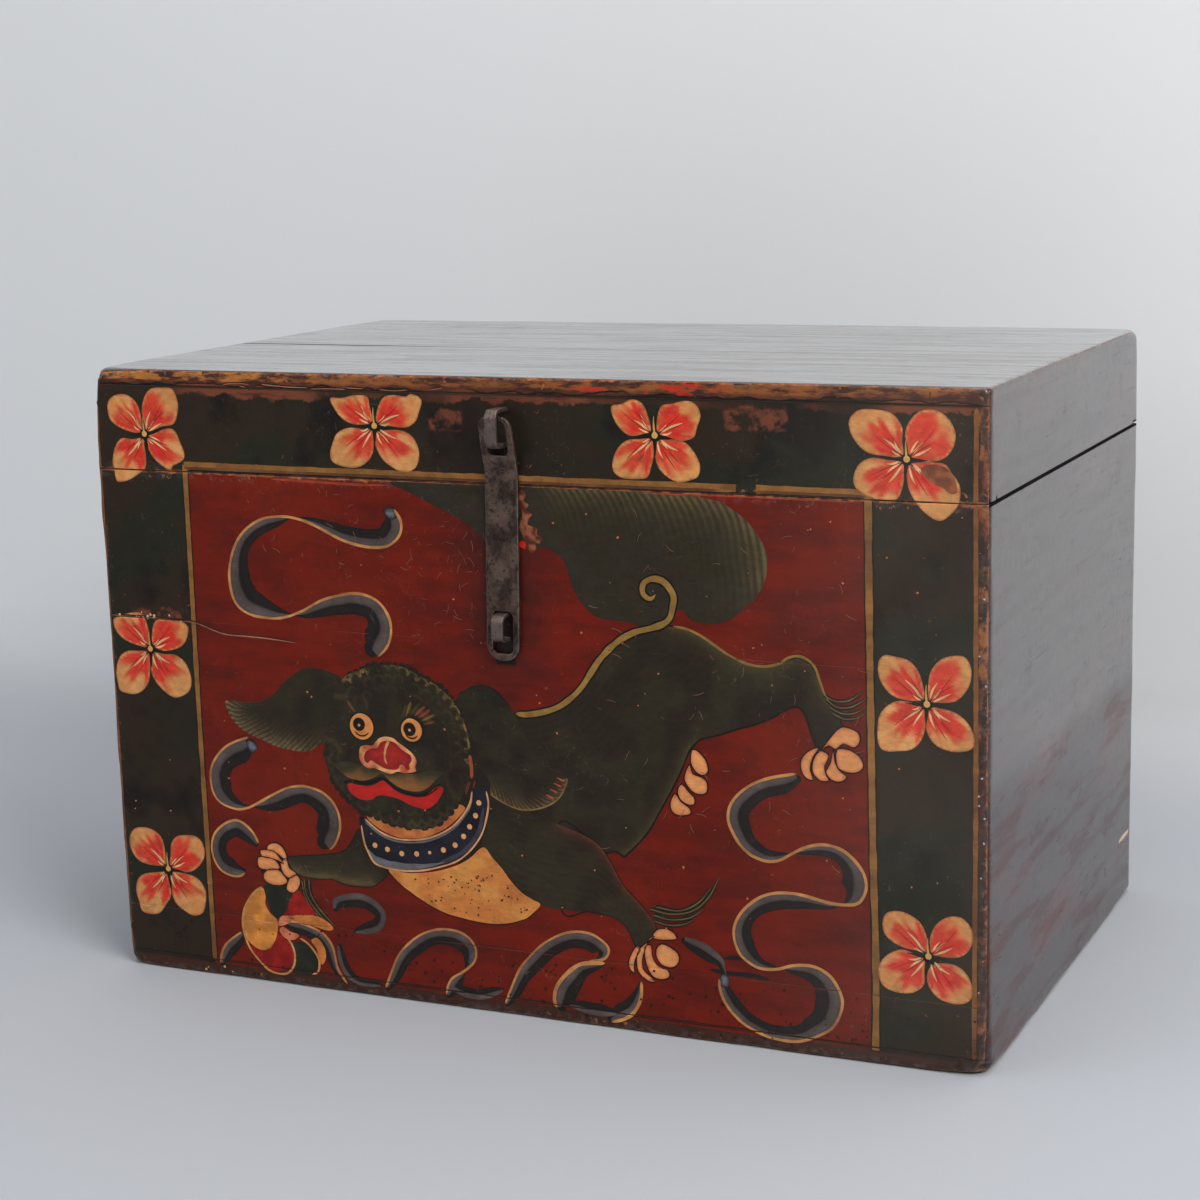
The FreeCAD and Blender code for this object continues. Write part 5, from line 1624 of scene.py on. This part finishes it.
paws = {
    "right front": [
        [(98, 70), (102, 76), (110, 77), (115, 74), (116, 71), (110, 69.5), (104, 69)],
        [(105, 66), (112, 64), (117, 60), (117, 54), (112, 50), (105, 51), (101, 56), (101, 62)],
        [(97, 64), (98, 56), (102, 50), (109, 47.5), (110, 43), (104, 40.5), (98, 42), (94, 48), (92, 57),
         (93, 63)],
        [(88, 60), (86, 50), (88, 43), (94, 38.5), (99, 38), (97, 41), (91, 46), (90.5, 54), (93, 62),
         (96, 69), (100, 71)],
        [(86, 62), (82, 56), (80, 50), (81, 45), (84, 42.5), (84, 48), (85.5, 54), (89, 60)],
    ],
    "right hind": [
        [(232, 226), (238, 228), (246, 225), (247, 219), (243, 215), (236, 217), (231, 213), (226, 215),
         (222, 213)],
        [(232, 213), (240, 213), (247, 209), (249.5, 203), (246, 199), (240, 198), (233, 200), (231, 206)],
        [(229, 212), (227, 203), (224, 197), (228, 192), (234, 191.5), (238, 195), (233, 199), (230, 205)],
        [(221, 211), (226, 208), (223, 201), (224, 195), (226, 191.5), (220, 191), (215, 196), (215, 203),
         (218, 209)],
        [(219, 213), (212, 210), (207, 204), (207, 197), (210, 192), (215, 191), (213, 198), (215, 206)],
    ],
    "middle hind": [
        [(130, 204), (135, 203), (140, 197), (141, 190), (138, 187.5), (133, 189), (129, 195)],
        [(128, 194), (130, 188), (136, 186), (140, 183), (140, 176), (135, 174), (129, 176), (124, 184)],
        [(122, 180), (127, 175), (131, 171), (131, 167), (127, 166), (121, 169), (119, 175)],
        [(117, 173), (121, 168), (127, 164), (128, 160), (121, 158), (115, 160), (113.5, 166)],
    ],
    "left front": [
        [(-204, 106), (-198, 107.5), (-193, 105), (-190, 100), (-190, 95), (-195, 98), (-200, 101),
         (-206, 102)],
        [(-212, 100), (-208, 101.5), (-200, 101), (-196, 97), (-192, 92), (-196, 94), (-203, 95.5),
         (-210, 96)],
        [(-214, 95), (-206, 96), (-199, 94), (-196, 89), (-201, 87), (-209, 86.5), (-214, 88)],
        [(-210, 83), (-205, 87), (-198, 87.5), (-193, 84), (-190, 79), (-195, 76), (-203, 75.5),
         (-209, 78)],
        [(-190, 78), (-187, 83), (-182, 85), (-179, 81), (-181, 75), (-186, 71), (-191, 73)],
        [(-195, 92), (-190, 97), (-188, 90), (-182, 86), (-188, 82), (-193, 85)],
    ],
}

pawGround = [
    (-213, 90), (-210, 98), (-203, 105), (-196, 106), (-190, 100), (-188, 93), (-181, 83), (-182, 75),
    (-188, 72), (-193, 76), (-203, 76.5), (-209, 80), (-212, 85),
]

ball = {  # sections of the ball, in the order they are painted
    "upper": ((38, 40, 30), [
        (-209, 75), (-208, 62), (-205, 54), (-200, 50), (-194, 55), (-190, 63), (-186, 70), (-187, 75),
    ]),
    "left": ((220, 139, 62), [
        (-212, 72), (-220, 66), (-226, 57), (-229, 47), (-229, 38), (-227, 31), (-221, 26), (-214, 24),
        (-208, 26), (-203, 33), (-200.5, 42), (-201, 49), (-207, 54), (-210, 60), (-209.5, 67),
    ]),
    "right": ((150, 26, 20), [
        (-186, 70), (-182, 73), (-179, 72), (-175, 66), (-170, 61), (-168, 57), (-175, 55), (-182, 54),
        (-190, 54), (-190, 62),
    ]),
    "wedge": ((206, 122, 60), [
        (-192, 52), (-182, 55), (-172, 56), (-162, 54), (-154, 49), (-155, 46), (-162, 46), (-172, 48),
        (-185, 50),
    ]),
    "lower": ((146, 26, 20), [
        (-200, 38), (-194, 34), (-189.5, 30), (-188, 22), (-191, 14), (-197, 10), (-206, 9), (-214, 13),
        (-221, 20), (-224, 26), (-215, 24), (-208, 27), (-203, 33),
    ]),
    "lowerRight": ((38, 40, 30), [
        (-188, 32), (-182, 34), (-176, 33), (-170, 27), (-167, 20), (-168, 14), (-174, 10), (-182, 9),
        (-189, 11), (-187, 20),
    ]),
    "crescent": ((206, 122, 60), [
        (-172, 37), (-168, 39), (-164, 36), (-161, 30), (-161, 24), (-164, 19), (-167, 22), (-168, 30),
        (-172, 35),
    ]),
    "knotUp": ((206, 120, 84), [(-200, 45), (-197, 52), (-190, 53), (-186, 52), (-190, 48), (-196, 45)]),
    "knotDown": ((206, 120, 84), [
        (-199, 41), (-195, 36), (-188, 35), (-183, 38), (-184, 40), (-190, 41), (-196, 44),
    ]),
}

ballLines = [
    (
        [(-229, 33), (-225, 24), (-217, 15), (-209, 9), (-200, 7.5), (-193, 9.5), (-188, 16), (-187, 24),
         (-189, 31), (-193, 36)],
        2.2,
    ),
    ([(-182, 37), (-176, 34), (-170, 28), (-166.5, 21), (-168, 13), (-173, 10.5)], 2.0),
    ([(-212, 73), (-220, 67), (-227, 57), (-230, 47), (-230, 38), (-228, 30)], 2.4),
    ([(-228, 46), (-218, 45.5), (-208, 46), (-202, 46)], 1.6),
]

eyes = [((-122, 200.5), 9.5, (-124, 202), 4.9), ((-82, 201), 8.3, (-83.5, 201.5), 5.0)]

eyeArcs = [(0.72, (3.7, 4.2, 4.7, 5.2, 5.7), 1.1, "ink"), (0.95, (1.2, 1.6, 2.0, 2.4), 1.2, "cream")]

brows = [
    ([(-90, 208.5), (-87, 214), (-85.5, 219)], "rim"),
    ([(-86, 211), (-83.5, 216.5), (-81.5, 221.5)], "ochre"),
    ([(-83, 211.5), (-78.5, 216.5), (-74.5, 221)], "rim"),
    ([(-79, 211.5), (-74.5, 215.5), (-70.5, 219)], "salmon"),
    ([(-76, 210.5), (-71, 213.5), (-66.5, 217)], "salmon"),
    ([(-73.5, 208.5), (-68, 211), (-63.5, 213.5)], "ochre"),
    ([(-72, 206), (-67, 207.5), (-63, 208.5)], "muzzle"),
    ([(-133, 219), (-130, 214.5), (-126.5, 210.5)], "muzzle"),
    ([(-119, 222), (-117.5, 218), (-117, 213)], "rim"),
]


def paintEye(film, centre, radius, iris, irisRadius):
    look = lionLook
    dot(film, centre, radius + 1.2, look["ink"], 0.29, 24)
    dot(film, centre, radius, look["tan"], 0.30, 24)
    dot(film, iris, irisRadius, look["ink"], 0.315, 20)
    dot(film, (iris[0], iris[1] - 0.6), 1.1, look["tan"], 0.335, 8)
    x, z = centre
    for share, turns, wide, tone in eyeArcs:
        reach = radius * share
        arc = [(x + reach * math.cos(turn), z + reach * math.sin(turn)) for turn in turns]
        brushLine(film, arc, wide, look[tone], 0.32)


def paintPaw(film, lobes):
    look = lionLook
    for lobe in lobes:
        points = np.array(lobe)
        ways = points - points.mean(axis=0)
        wider = ways * (1 + 0.7 / np.maximum(4.0, np.hypot(*ways.T)))[:, None] + points.mean(axis=0)
        fillShape(film, wider, 0.24, plain(look["ink"]), 4, 1.5)
        fillShape(film, lobe, 0.28, rimmed(look["paw"], look["pawRim"], 1.8), 2.0, 1.2)
    for lobe in lobes:
        outlined(film, lobe, 0.55, look["ink"], 0.295)


def paintPaws(film):
    for lobes in paws.values():
        paintPaw(film, lobes)


def outlined(film, outline, wide, tone, lift):  # a thin dark line round a shape
    loop = smoothPath(outline, True, 4.0)
    brushLine(film, [tuple(p) for p in loop] + [tuple(loop[0])], wide, tone, lift, (0, 0))


tailRim = [
    (8, 375.6), (40, 375.4), (80, 375.2), (110, 374.6), (134, 373), (150, 370.5), (160, 366.5),
    (170, 359.5), (177, 351), (182, 342), (184, 333), (182, 322),
]
flank = [(-14, 112), (6, 104), (30, 101), (54, 100), (66, 92)]


def tailStrands(x, z):  # strands that hang from the top rim and turn down along the right one
    away = nearPath(tailRim, x, z)[0]
    phase = (x + 15 * np.exp((z - 375) / 20) + 1.3 * softNoise(x / 16, z / 24, 43)) / 5.3
    strand = 0.5 + 0.5 * np.cos(2 * math.pi * phase)
    glow = 0.95 * np.exp(-away / 10) + 0.2 * np.exp(-away / 30) * softStep(60, 120, x)
    return glow * softStep(12, 44, x) * (0.22 + 0.78 * strand ** 1.2)


def paintBody(film):
    look = lionLook
    fur = mottled(look["body"], look["bodyLight"], 17, 41)
    tail = mottled(look["tail"], look["bodyLight"], 22, 43)
    fillShape(film, lion["tail"], 0.10, laidOver(tail, tailStrands, look["rib"]), 1.35)
    brushLine(film, lion["neck"], 12, look["body"], 0.12, (3, 3))
    fur = banded(fur, lion["spine"][1:12], look["rim"], 5.2, 0.16)
    back = glowing(fur, lion["backLine"], look["rim"], 5.5, 0.9)
    back = glowing(back, lion["bellyRim"], look["rim"], 4.5, 0.75)
    fillShape(film, lion["torso"], 0.14, back, 1.9)
    outlined(film, lion["torso"], 1.3, look["ink"], 0.15)
    leg = banded(glowing(fur, lion["legRim"], look["brown"], 2.6, 0.8), flank, look["rim"], 4.6, 0.16)
    fillShape(film, lion["frontLeg"], 0.18, leg, 1.9)
    outlined(film, lion["frontLeg"][2:18], 1.2, look["ink"], 0.17)
    fillShape(film, lion["leftLeg"], 0.18, glowing(fur, lion["leftLegRim"], look["olive"], 4.5, 0.7), 1.7)
    outlined(film, lion["leftLeg"], 1.3, look["ink"], 0.17)
    brushLine(film, lion["backLine"], 1.7, look["ochre"], 0.17, (6, 14), faded=look["olive"])
    brushLine(film, [(x, z, w + 2.4) for x, z, w in lion["spine"]], 4, look["ink"], 0.16)
    brushLine(film, lion["spine"], 4, look["ochre"], 0.2, (2.5, 2.5), faded=(142, 100, 50))
    for path in wisps:
        brushLine(film, path, 3.4, look["body"], 0.155, (2, 16))
    for path in wisps:
        brushLine(film, path, 0.9, look["olive"], 0.19, (2, 16))


beard = [
    (-151, 178), (-146, 158), (-140, 150), (-130, 142), (-117, 136.5), (-102, 133), (-86, 131.5),
    (-72, 133.5), (-60, 139), (-50, 149), (-43, 160),
]


def muzzleShade(x, z, rim):  # tan fur that darkens upwards
    share = softStep(160, 172, z - 2.5 * softNoise(x / 7, z / 7, 51))
    return mixed(lionLook["muzzle"], lionLook["muzzleTop"], share)


def paintHead(film):
    look = lionLook
    fur = mottled(look["body"], look["bodyLight"], 12, 47)
    fillShape(film, lion["chin"], 0.235, mottled((190, 116, 60), (172, 92, 50), 8, 57), 3)
    fillShape(film, lion["earRoot"], 0.21, plain(look["body"]), 3)
    leftComb = lion["leftEarFringe"] + [(-166, 177), (-152, 176), (-138, 176)]
    rightComb = [(-52, 176), (-36, 168)] + lion["rightEarFringe"] + [(41, 182), (46, 192)]
    fillShape(film, lion["leftEar"], 0.2, combed(fur, leftComb, (128, 108, 70), 11.5, 4.3, -0.9, 5), 1.2)
    fillShape(film, lion["rightEar"], 0.2, combed(fur, rightComb, (122, 92, 60), 7.5, 4.0, 1.1, 7), 1.2)
    brushLine(film, lion["rightEarFringe"], 1.0, look["curl"], 0.235, (6, 6), faded=look["body"])
    for spot in ((27, 161), (30, 165.5), (33, 170), (35.5, 174)):
        brushLine(film, [spot, (spot[0] - 6, spot[1] + 2.4)], 1.3, look["salmon"], 0.24, (1, 4), 1.2)
    curls = curled(fur, lion["headRim"], look["curl"], 4.2, 8.6, 0.85, 3)
    curls = curled(curls, lion["headRim"], look["rim"], 11.5, 9.4, 0.5, 5)
    curls = curled(curls, lion["headRim"], look["rim"], 19.5, 9.8, 0.3, 7)
    curls = curled(curls, beard, look["rim"], 4.4, 9.0, 0.6, 9)
    curls = curled(curls, beard, look["rim"], 12.0, 9.4, 0.4, 4)
    fillShape(film, lion["head"], 0.25, curls, 1.1, 1.4)
    strokeRow(film, beard, 24, 0, 7.4, 0.28, 6.8, look["body"], 0.247, 6)
    strokeRow(film, lion["headRim"], 30, 0, 5.2, 0.3, 4.6, look["body"], 0.247, 8)
    for path, wide, tone in rimDashes:
        brushLine(film, path, wide, look[tone], 0.27, (1.5, 2), 1.2)
    fillShape(film, lion["muzzle"], 0.28, muzzleShade, 2.0)
    brushLine(film, lion["lip"], 2.6, look["ink"], 0.3)
    fillShape(film, lion["mouth"], 0.3, rimmed(look["mouth"], look["red"], 2.5), 3, 1.4)
    fillShape(film, lion["noseRim"], 0.3, mottled(look["cream"], look["salmon"], 6, 53), 2, 1.2)
    fillShape(film, lion["nose"], 0.32, rimmed((158, 36, 30), look["nose"], 4), 2.5, 1.0)
    brushLine(film, lion["noseLine"], 1.3, look["cream"], 0.335, (0, 2))
    for eye in eyes:
        paintEye(film, *eye)
    for path, tone in brows:
        brushLine(film, path, 3.4, mixed(look["body"], look[tone], 0.4), 0.29, (4, 4), 1.2)
    for path, tone in brows:
        brushLine(film, path, 1.1, mixed(look["body"], look[tone], 0.78), 0.3, (3, 3), 1.2)


rimDashes = [
    ([(-40.5, 209), (-39, 203)], 1.5, "curl"), ([(-38, 199), (-37, 191)], 1.5, "curl"),
    ([(-36.8, 187), (-35.8, 178), (-36, 170)], 2.6, "salmon"),
    ([(-37.5, 168), (-40, 162), (-41, 158)], 2.0, "brown"), ([(-33.5, 169), (-35, 163)], 1.6, "brown"),
    ([(-43, 215.5), (-45, 219)], 1.3, "curl"),
]


def paintCollar(film):
    look = lionLook
    fillShape(film, [(x, z - 0.8) for x, z in lion["bib"]], 0.2, plain(look["ink"]), 5)
    fillShape(film, lion["bib"], 0.22, mottled(look["bib"], (208, 138, 70), 11, 55), 4)
    scatterMarks(film, [(-70, 72), (-30, 70), (4, 78), (-4, 92), (-22, 108), (-52, 98), (-84, 92)], 0.028,
                 (0.8, 2.0), 90, (92, 46, 24), 0.25, 4)
    fillShape(film, lion["collar"], 0.26, mottled(look["navy"], (33, 32, 44), 14, 59), 4)
    brushLine(film, lion["collarSteel"], 5, look["steel"], 0.285, (4, 10))
    brushLine(film, lion["collarShade"], 3.2, look["slate"], 0.28, (8, 8))
    brushLine(film, lion["collarInner"], 1.4, look["cream"], 0.29)
    brushLine(film, [(x, z - 1.9) for x, z in lion["collarInner"]], 1.4, look["steel"], 0.285)
    brushLine(film, lion["collarOuter"], 1.3, look["cream"], 0.3)
    for number, spot in enumerate(lion["collarDots"]):
        dot(film, spot, 1.3 if number == 4 else 2.0, look["cream"], 0.31, 12)


def paintBall(film):
    for tone, outline in ball.values():
        fillShape(film, outline, 0.24, mottled(tone, tuple(c * 0.84 for c in tone), 7, 63), 2.6, 1.5)
    for path, wide in ballLines:
        brushLine(film, path, wide * 0.72, ribbonLook["cream"], 0.28)
    fillShape(film, pawGround, 0.27, plain(lionLook["ink"]), 4)


marks = [  # patch, how many to a square mm, sizes, turn, tone, lift, seed, shape
    ([(-88, 262), (-14, 262), (-14, 345), (-80, 345)], 0.008, (2.5, 8), 180, (126, 74, 60), 0.3, 21, hair),
    ([(-250, 300), (-60, 300), (-60, 372), (-250, 372)], 0.002, (2, 7), 180, (130, 88, 70), 0.3, 23, hair),
    ([(60, 120), (250, 120), (250, 370), (60, 370)], 0.0014, (2, 8), 180, (120, 84, 68), 0.3, 25, hair),
    ([(-328, 4), (328, 4), (328, 46), (-328, 46)], 0.006, (0.8, 2.4), 180, (40, 22, 17), 0.3, 27),
    ([(-320, 60), (320, 60), (320, 370), (-320, 370)], 0.0004, (0.5, 1.8), 180, (186, 112, 70), 0.3, 29),
    ([(-322, 268), (-268, 266), (-268, 271), (-322, 273)], 0.05, (0.8, 2.4), 60, (206, 170, 132), 0.26, 31),
    # pale blue specks along the right upright edge: painted glints on the chipped lacquer
    ([(326, 20), (331, 20), (331, 372), (326, 372)], 0.008, (0.5, 1.6), 180, (170, 172, 184), 0.12, 33),
    ([(-268, 3), (-236, 3), (-240, 7), (-262, 8)], 0.03, (0.8, 2.4), 90, (190, 150, 112), 0.2, 37),
]

wornLook = {
    "patchTone": (146, 84, 58), "patchDark": (78, 38, 28), "drop": (200, 30, 20), "splitDark": (58, 28, 22),
    "splitPale": (186, 124, 92), "splitFaded": (84, 42, 32),
    "patch": [
        (9, 374), (13, 371), (11, 367), (15, 364), (12.5, 361), (17, 358), (15, 355), (13.5, 351),
        (17.5, 349.5), (21, 348), (20, 344.5), (24.5, 342), (22, 338), (18.5, 339), (19.5, 334.5),
        (15.5, 331), (13, 334.5), (10, 333.5), (10.5, 341), (7.5, 349), (10, 358), (6.5, 366),
    ],
    "split": [
        (-330, 269.3), (-300, 269.4), (-264, 268.6), (-252, 266.8), (-240, 263), (-229, 260.8),
        (-214, 260.6), (-195, 260), (-172, 258.4),
    ],
    "rubbed": [
        (288, 398), (295, 401), (303, 400), (308, 396), (311, 390), (311.5, 384), (307, 383), (303, 386),
        (298, 388), (293, 391),
    ],
    "rubbedTone": (150, 84, 48), "rubbedDark": (112, 60, 38), "crestPale": (170, 112, 82),
    "crestDark": (34, 22, 18),
}


def paintMarks(film):  # worn specks, fine scratches and painted glints, thrown by rule where the trunk has them
    for mark in marks[:5]:
        scatterMarks(film, *mark)
    look = wornLook
    fillShape(film, look["patch"], 0.14, mottled(look["patchTone"], look["patchDark"], 3, 61), 1.6, 2.0)
    dot(film, (9.5, 337), 2.6, look["drop"], 0.2, 9)
    brushLine(film, look["split"], 1.1, look["splitDark"], 0.24, (2, 30))
    pale = [(x, z - 0.8) for x, z in look["split"]]
    brushLine(film, pale, 0.9, look["splitPale"], 0.25, (2, 30), faded=look["splitFaded"])
    for mark in marks[5:]:
        scatterMarks(film, *mark)


crestSplits = [  # where the lacquer has lifted below the lid's top
    [(-221.5, 440.2), (-211.1, 441.3), (-199.9, 440.7)],
    [(-208.2, 439.6), (-203.1, 438.4), (-199.7, 435.2)], [(-189.7, 441), (-170.5, 439.7), (-152.4, 439.3)],
    [(-150.5, 438.6), (-136, 439), (-122.6, 438.9)], [(-122.5, 440), (-108.4, 439.8)],
    [(-96, 439.4), (-84, 438.8), (-74, 439.6)], [(-56.5, 440), (-46.8, 441.6)],
]


def paintLidWear(film):
    look = wornLook
    fillShape(film, look["rubbed"], 0.2, mottled(look["rubbedTone"], look["rubbedDark"], 5, 65), 1.4, 1.6)
    for split in crestSplits:
        brushLine(film, split, 0.7, look["crestPale"], 0.12, (2, 3), 1.2)
        brushLine(film, [(x, z + 0.7) for x, z in split], 0.8, look["crestDark"], 0.13, (2, 3), 1.2)


def layer(name, body, *painters):
    film = startFilm(body)
    for painter in painters:
        painter(film)
    layOnFront(film, name)


layer("border_lines_box", "box", paintBorder)
layer("painted_flowers_box", "box", paintFlowers)
layer("painted_ribbons", "box", paintRibbons)
layer("painted_lion_body", "box", paintBody)
layer("painted_lion_head", "box", paintCollar, paintHead)
layer("painted_ball_and_paws", "box", paintBall, paintPaws)
layer("paint_scratches", "box", paintMarks)
layer("border_lines_lid", "lid", paintBorder)
layer("painted_flowers_lid", "lid", paintFlowers, paintLidWear)
for shape in (bead, speck, hair):
    bpy.data.objects.remove(shape)
print("painting laid on")


# forged iron: a copy of each piece, remade with soft edges and hammer dents

forging = {"voxel": 0.62, "rounds": 3, "soften": 0.5, "dent": 0.34, "skin": 0.04, "seed": 71}


def readAll(items, key, width, kind=float):  # one value of every item, as rows
    flat = np.zeros(len(items) * width, kind)
    items.foreach_get(key, flat)
    return flat.reshape(-1, width)


def forgedPiece(node, body, finish):
    look = forging
    holder = addObject(node + "_forged", solidCopy(node, "_forged"))
    remesh = holder.modifiers.new("remesh", "REMESH")
    remesh.mode = "VOXEL"
    remesh.voxel_size = look["voxel"] * mm
    soften = holder.modifiers.new("soften", "SMOOTH")
    soften.factor = look["soften"]
    soften.iterations = look["rounds"]
    made = bpy.data.meshes.new_from_object(holder.evaluated_get(bpy.context.evaluated_depsgraph_get()))
    holder.modifiers.clear()
    places = readAll(made.vertices, "co", 3)
    normals = readAll(made.vertices, "normal", 3)
    x, y, z = places.T / mm
    broad = softNoise((x + y) / 9, (z - y) / 9, look["seed"])
    small = softNoise((x - y) / 3.1, (z + y) / 3.1, look["seed"] + 1)
    depth = look["skin"] + look["dent"] * (0.5 + 0.32 * broad + 0.18 * small)
    moved = places - normals * depth[:, None] * mm
    made.vertices.foreach_set("co", moved.ravel())
    first, second = readAll(made.edges, "vertices", 2, int).T
    pull = np.zeros((len(moved), 3))
    count = np.zeros(len(moved))
    for near, far in ((first, second), (second, first)):
        np.add.at(pull, near, moved[far] - moved[near])
        np.add.at(count, near, 1)
    bulge = -(pull / np.maximum(count, 1)[:, None] * normals).sum(axis=1) / mm
    made.attributes.new("edge", "FLOAT", "POINT").data.foreach_set("value", bulge.astype(np.float32))
    made.polygons.foreach_set("use_smooth", [True] * len(made.polygons))
    made.materials.clear()
    made.materials.append(finish)
    holder.data = made
    seat(holder, body, "forged_iron", node)


ironwork = {
    "hasp": ["hasp_strap"],
    "lid": ["lid_staple", "hinge_leaf_lid_left", "hinge_leaf_lid_right", "hinge_nails_lid"],
    "box": [
        "padlock_staple", "hinge_leaf_box_left", "hinge_leaf_box_right", "hinge_pin_left",
        "hinge_pin_right", "hinge_nails_box", "bottom_nails",
    ],
}
for body, nodes in ironwork.items():
    for node in nodes:
        forgedPiece(node, body, rubbedIron if "staple" in node else iron)
print("iron forged")


# studio


stageLook = {  # m: the floor, the bend, the wall, its top and half the width
    "floor": [(-4.0, 0.0), (-1.2, 0.0), (0.36, 0.0)], "radius": 0.1, "steps": 8, "wall": 0.46, "top": 3.4,
    "half": 4.2, "low": (170, 173, 179), "high": (226, 228, 230),
}


def setStage():
    look = stageLook
    profile = list(look["floor"])
    for step in range(1, look["steps"] + 1):
        angle = step / look["steps"] * math.pi / 2
        profile.append((look["wall"] - look["radius"] * (1 - math.sin(angle)),
                        look["radius"] * (1 - math.cos(angle))))
    profile.append((look["wall"], look["top"]))
    verts = [(side * look["half"], y, z) for y, z in profile for side in (-1, 1)]
    faces = [(2 * i, 2 * i + 1, 2 * i + 3, 2 * i + 2) for i in range(len(profile) - 1)]
    mesh = bpy.data.meshes.new("studio_sweep")
    mesh.from_pydata(verts, [], faces)
    mesh.polygons.foreach_set("use_smooth", [True] * len(faces))
    made, shader, place = newMaterial("studio_plaster")
    tone = blend(ramp(split(place)[2], 0.0, 0.12), look["low"], look["high"])
    fill(shader, {"Base Color": tone, "Roughness": 0.75})
    back = put("ShaderNodeNewGeometry").outputs["Backfacing"]
    clear = put("ShaderNodeBsdfTransparent")
    seen = put("ShaderNodeMixShader", {0: back, 1: shader.outputs[0], 2: clear.outputs[0]})
    fill(made.node_tree.nodes["Material Output"], {"Surface": seen.outputs[0]})
    mesh.materials.append(made)
    addObject("studio_sweep", mesh)


lamps = {  # place, size in m, watts, colour
    "key": ((2.2, -1.6, 2.5), 1.5, 84.0, (1.0, 0.985, 0.96)),
    "fill": ((-1.9, -2.3, 1.9), 2.2, 22.0, (0.97, 0.98, 1.0)),
    "wall": ((0.4, -0.35, 2.9), 2.2, 40.0, (1.0, 1.0, 1.0)),
}
airLook = {"front": (0.42, 0.43, 0.45, 1), "behind": (0.88, 0.89, 0.9, 1), "strength": 0.42}


def setLamps():
    target = Vector((0, 0, 0.2))
    for name, (place, size, power, tone) in lamps.items():
        lamp = bpy.data.lights.new(name, "AREA")
        lamp.size = size
        lamp.energy = power
        lamp.color = tone
        turn = (Vector(place) - target).to_track_quat("Z", "Y")
        addObject(name, lamp).matrix_world = Matrix.Translation(place) @ turn.to_matrix().to_4x4()
    world = bpy.data.worlds.new("studio_air")  # pale behind the trunk, dimmer behind the camera
    world.use_nodes = True
    desk["tree"] = world.node_tree
    way = split(put("ShaderNodeTexCoord").outputs["Generated"])[1]
    tone = blend(ramp(way, -0.6, 0.5), airLook["front"], airLook["behind"])
    fill(world.node_tree.nodes["Background"], {"Color": tone, "Strength": airLook["strength"]})
    bpy.context.scene.world = world
    bpy.context.scene.view_settings.view_transform = "Standard"


photoView = {  # the camera that the photograph was taken with, in m and degrees
    "place": (0.7325, -1.6645, 0.6146), "tilt": 78.84, "turn": 23.676, "roll": -1.354, "lens": 73.2,
    "shiftX": -0.0343, "shiftY": 0.0026,
}


def setCamera():
    view = photoView
    camera = bpy.data.cameras.new("photo_view")
    camera.lens = view["lens"]
    camera.sensor_width = 36.0
    camera.shift_x = view["shiftX"]
    camera.shift_y = view["shiftY"]
    holder = addObject("photo_view", camera)
    holder.matrix_world = Matrix.Translation(view["place"])
    for key, axis in (("turn", "Z"), ("tilt", "X"), ("roll", "Z")):
        holder.matrix_world = holder.matrix_world @ Matrix.Rotation(math.radians(view[key]), 4, axis)
    bpy.context.scene.camera = holder


setStage()
setLamps()
setCamera()
print("studio set")
print("left as solids:", [name for name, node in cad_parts.items() if not node.hide_render])
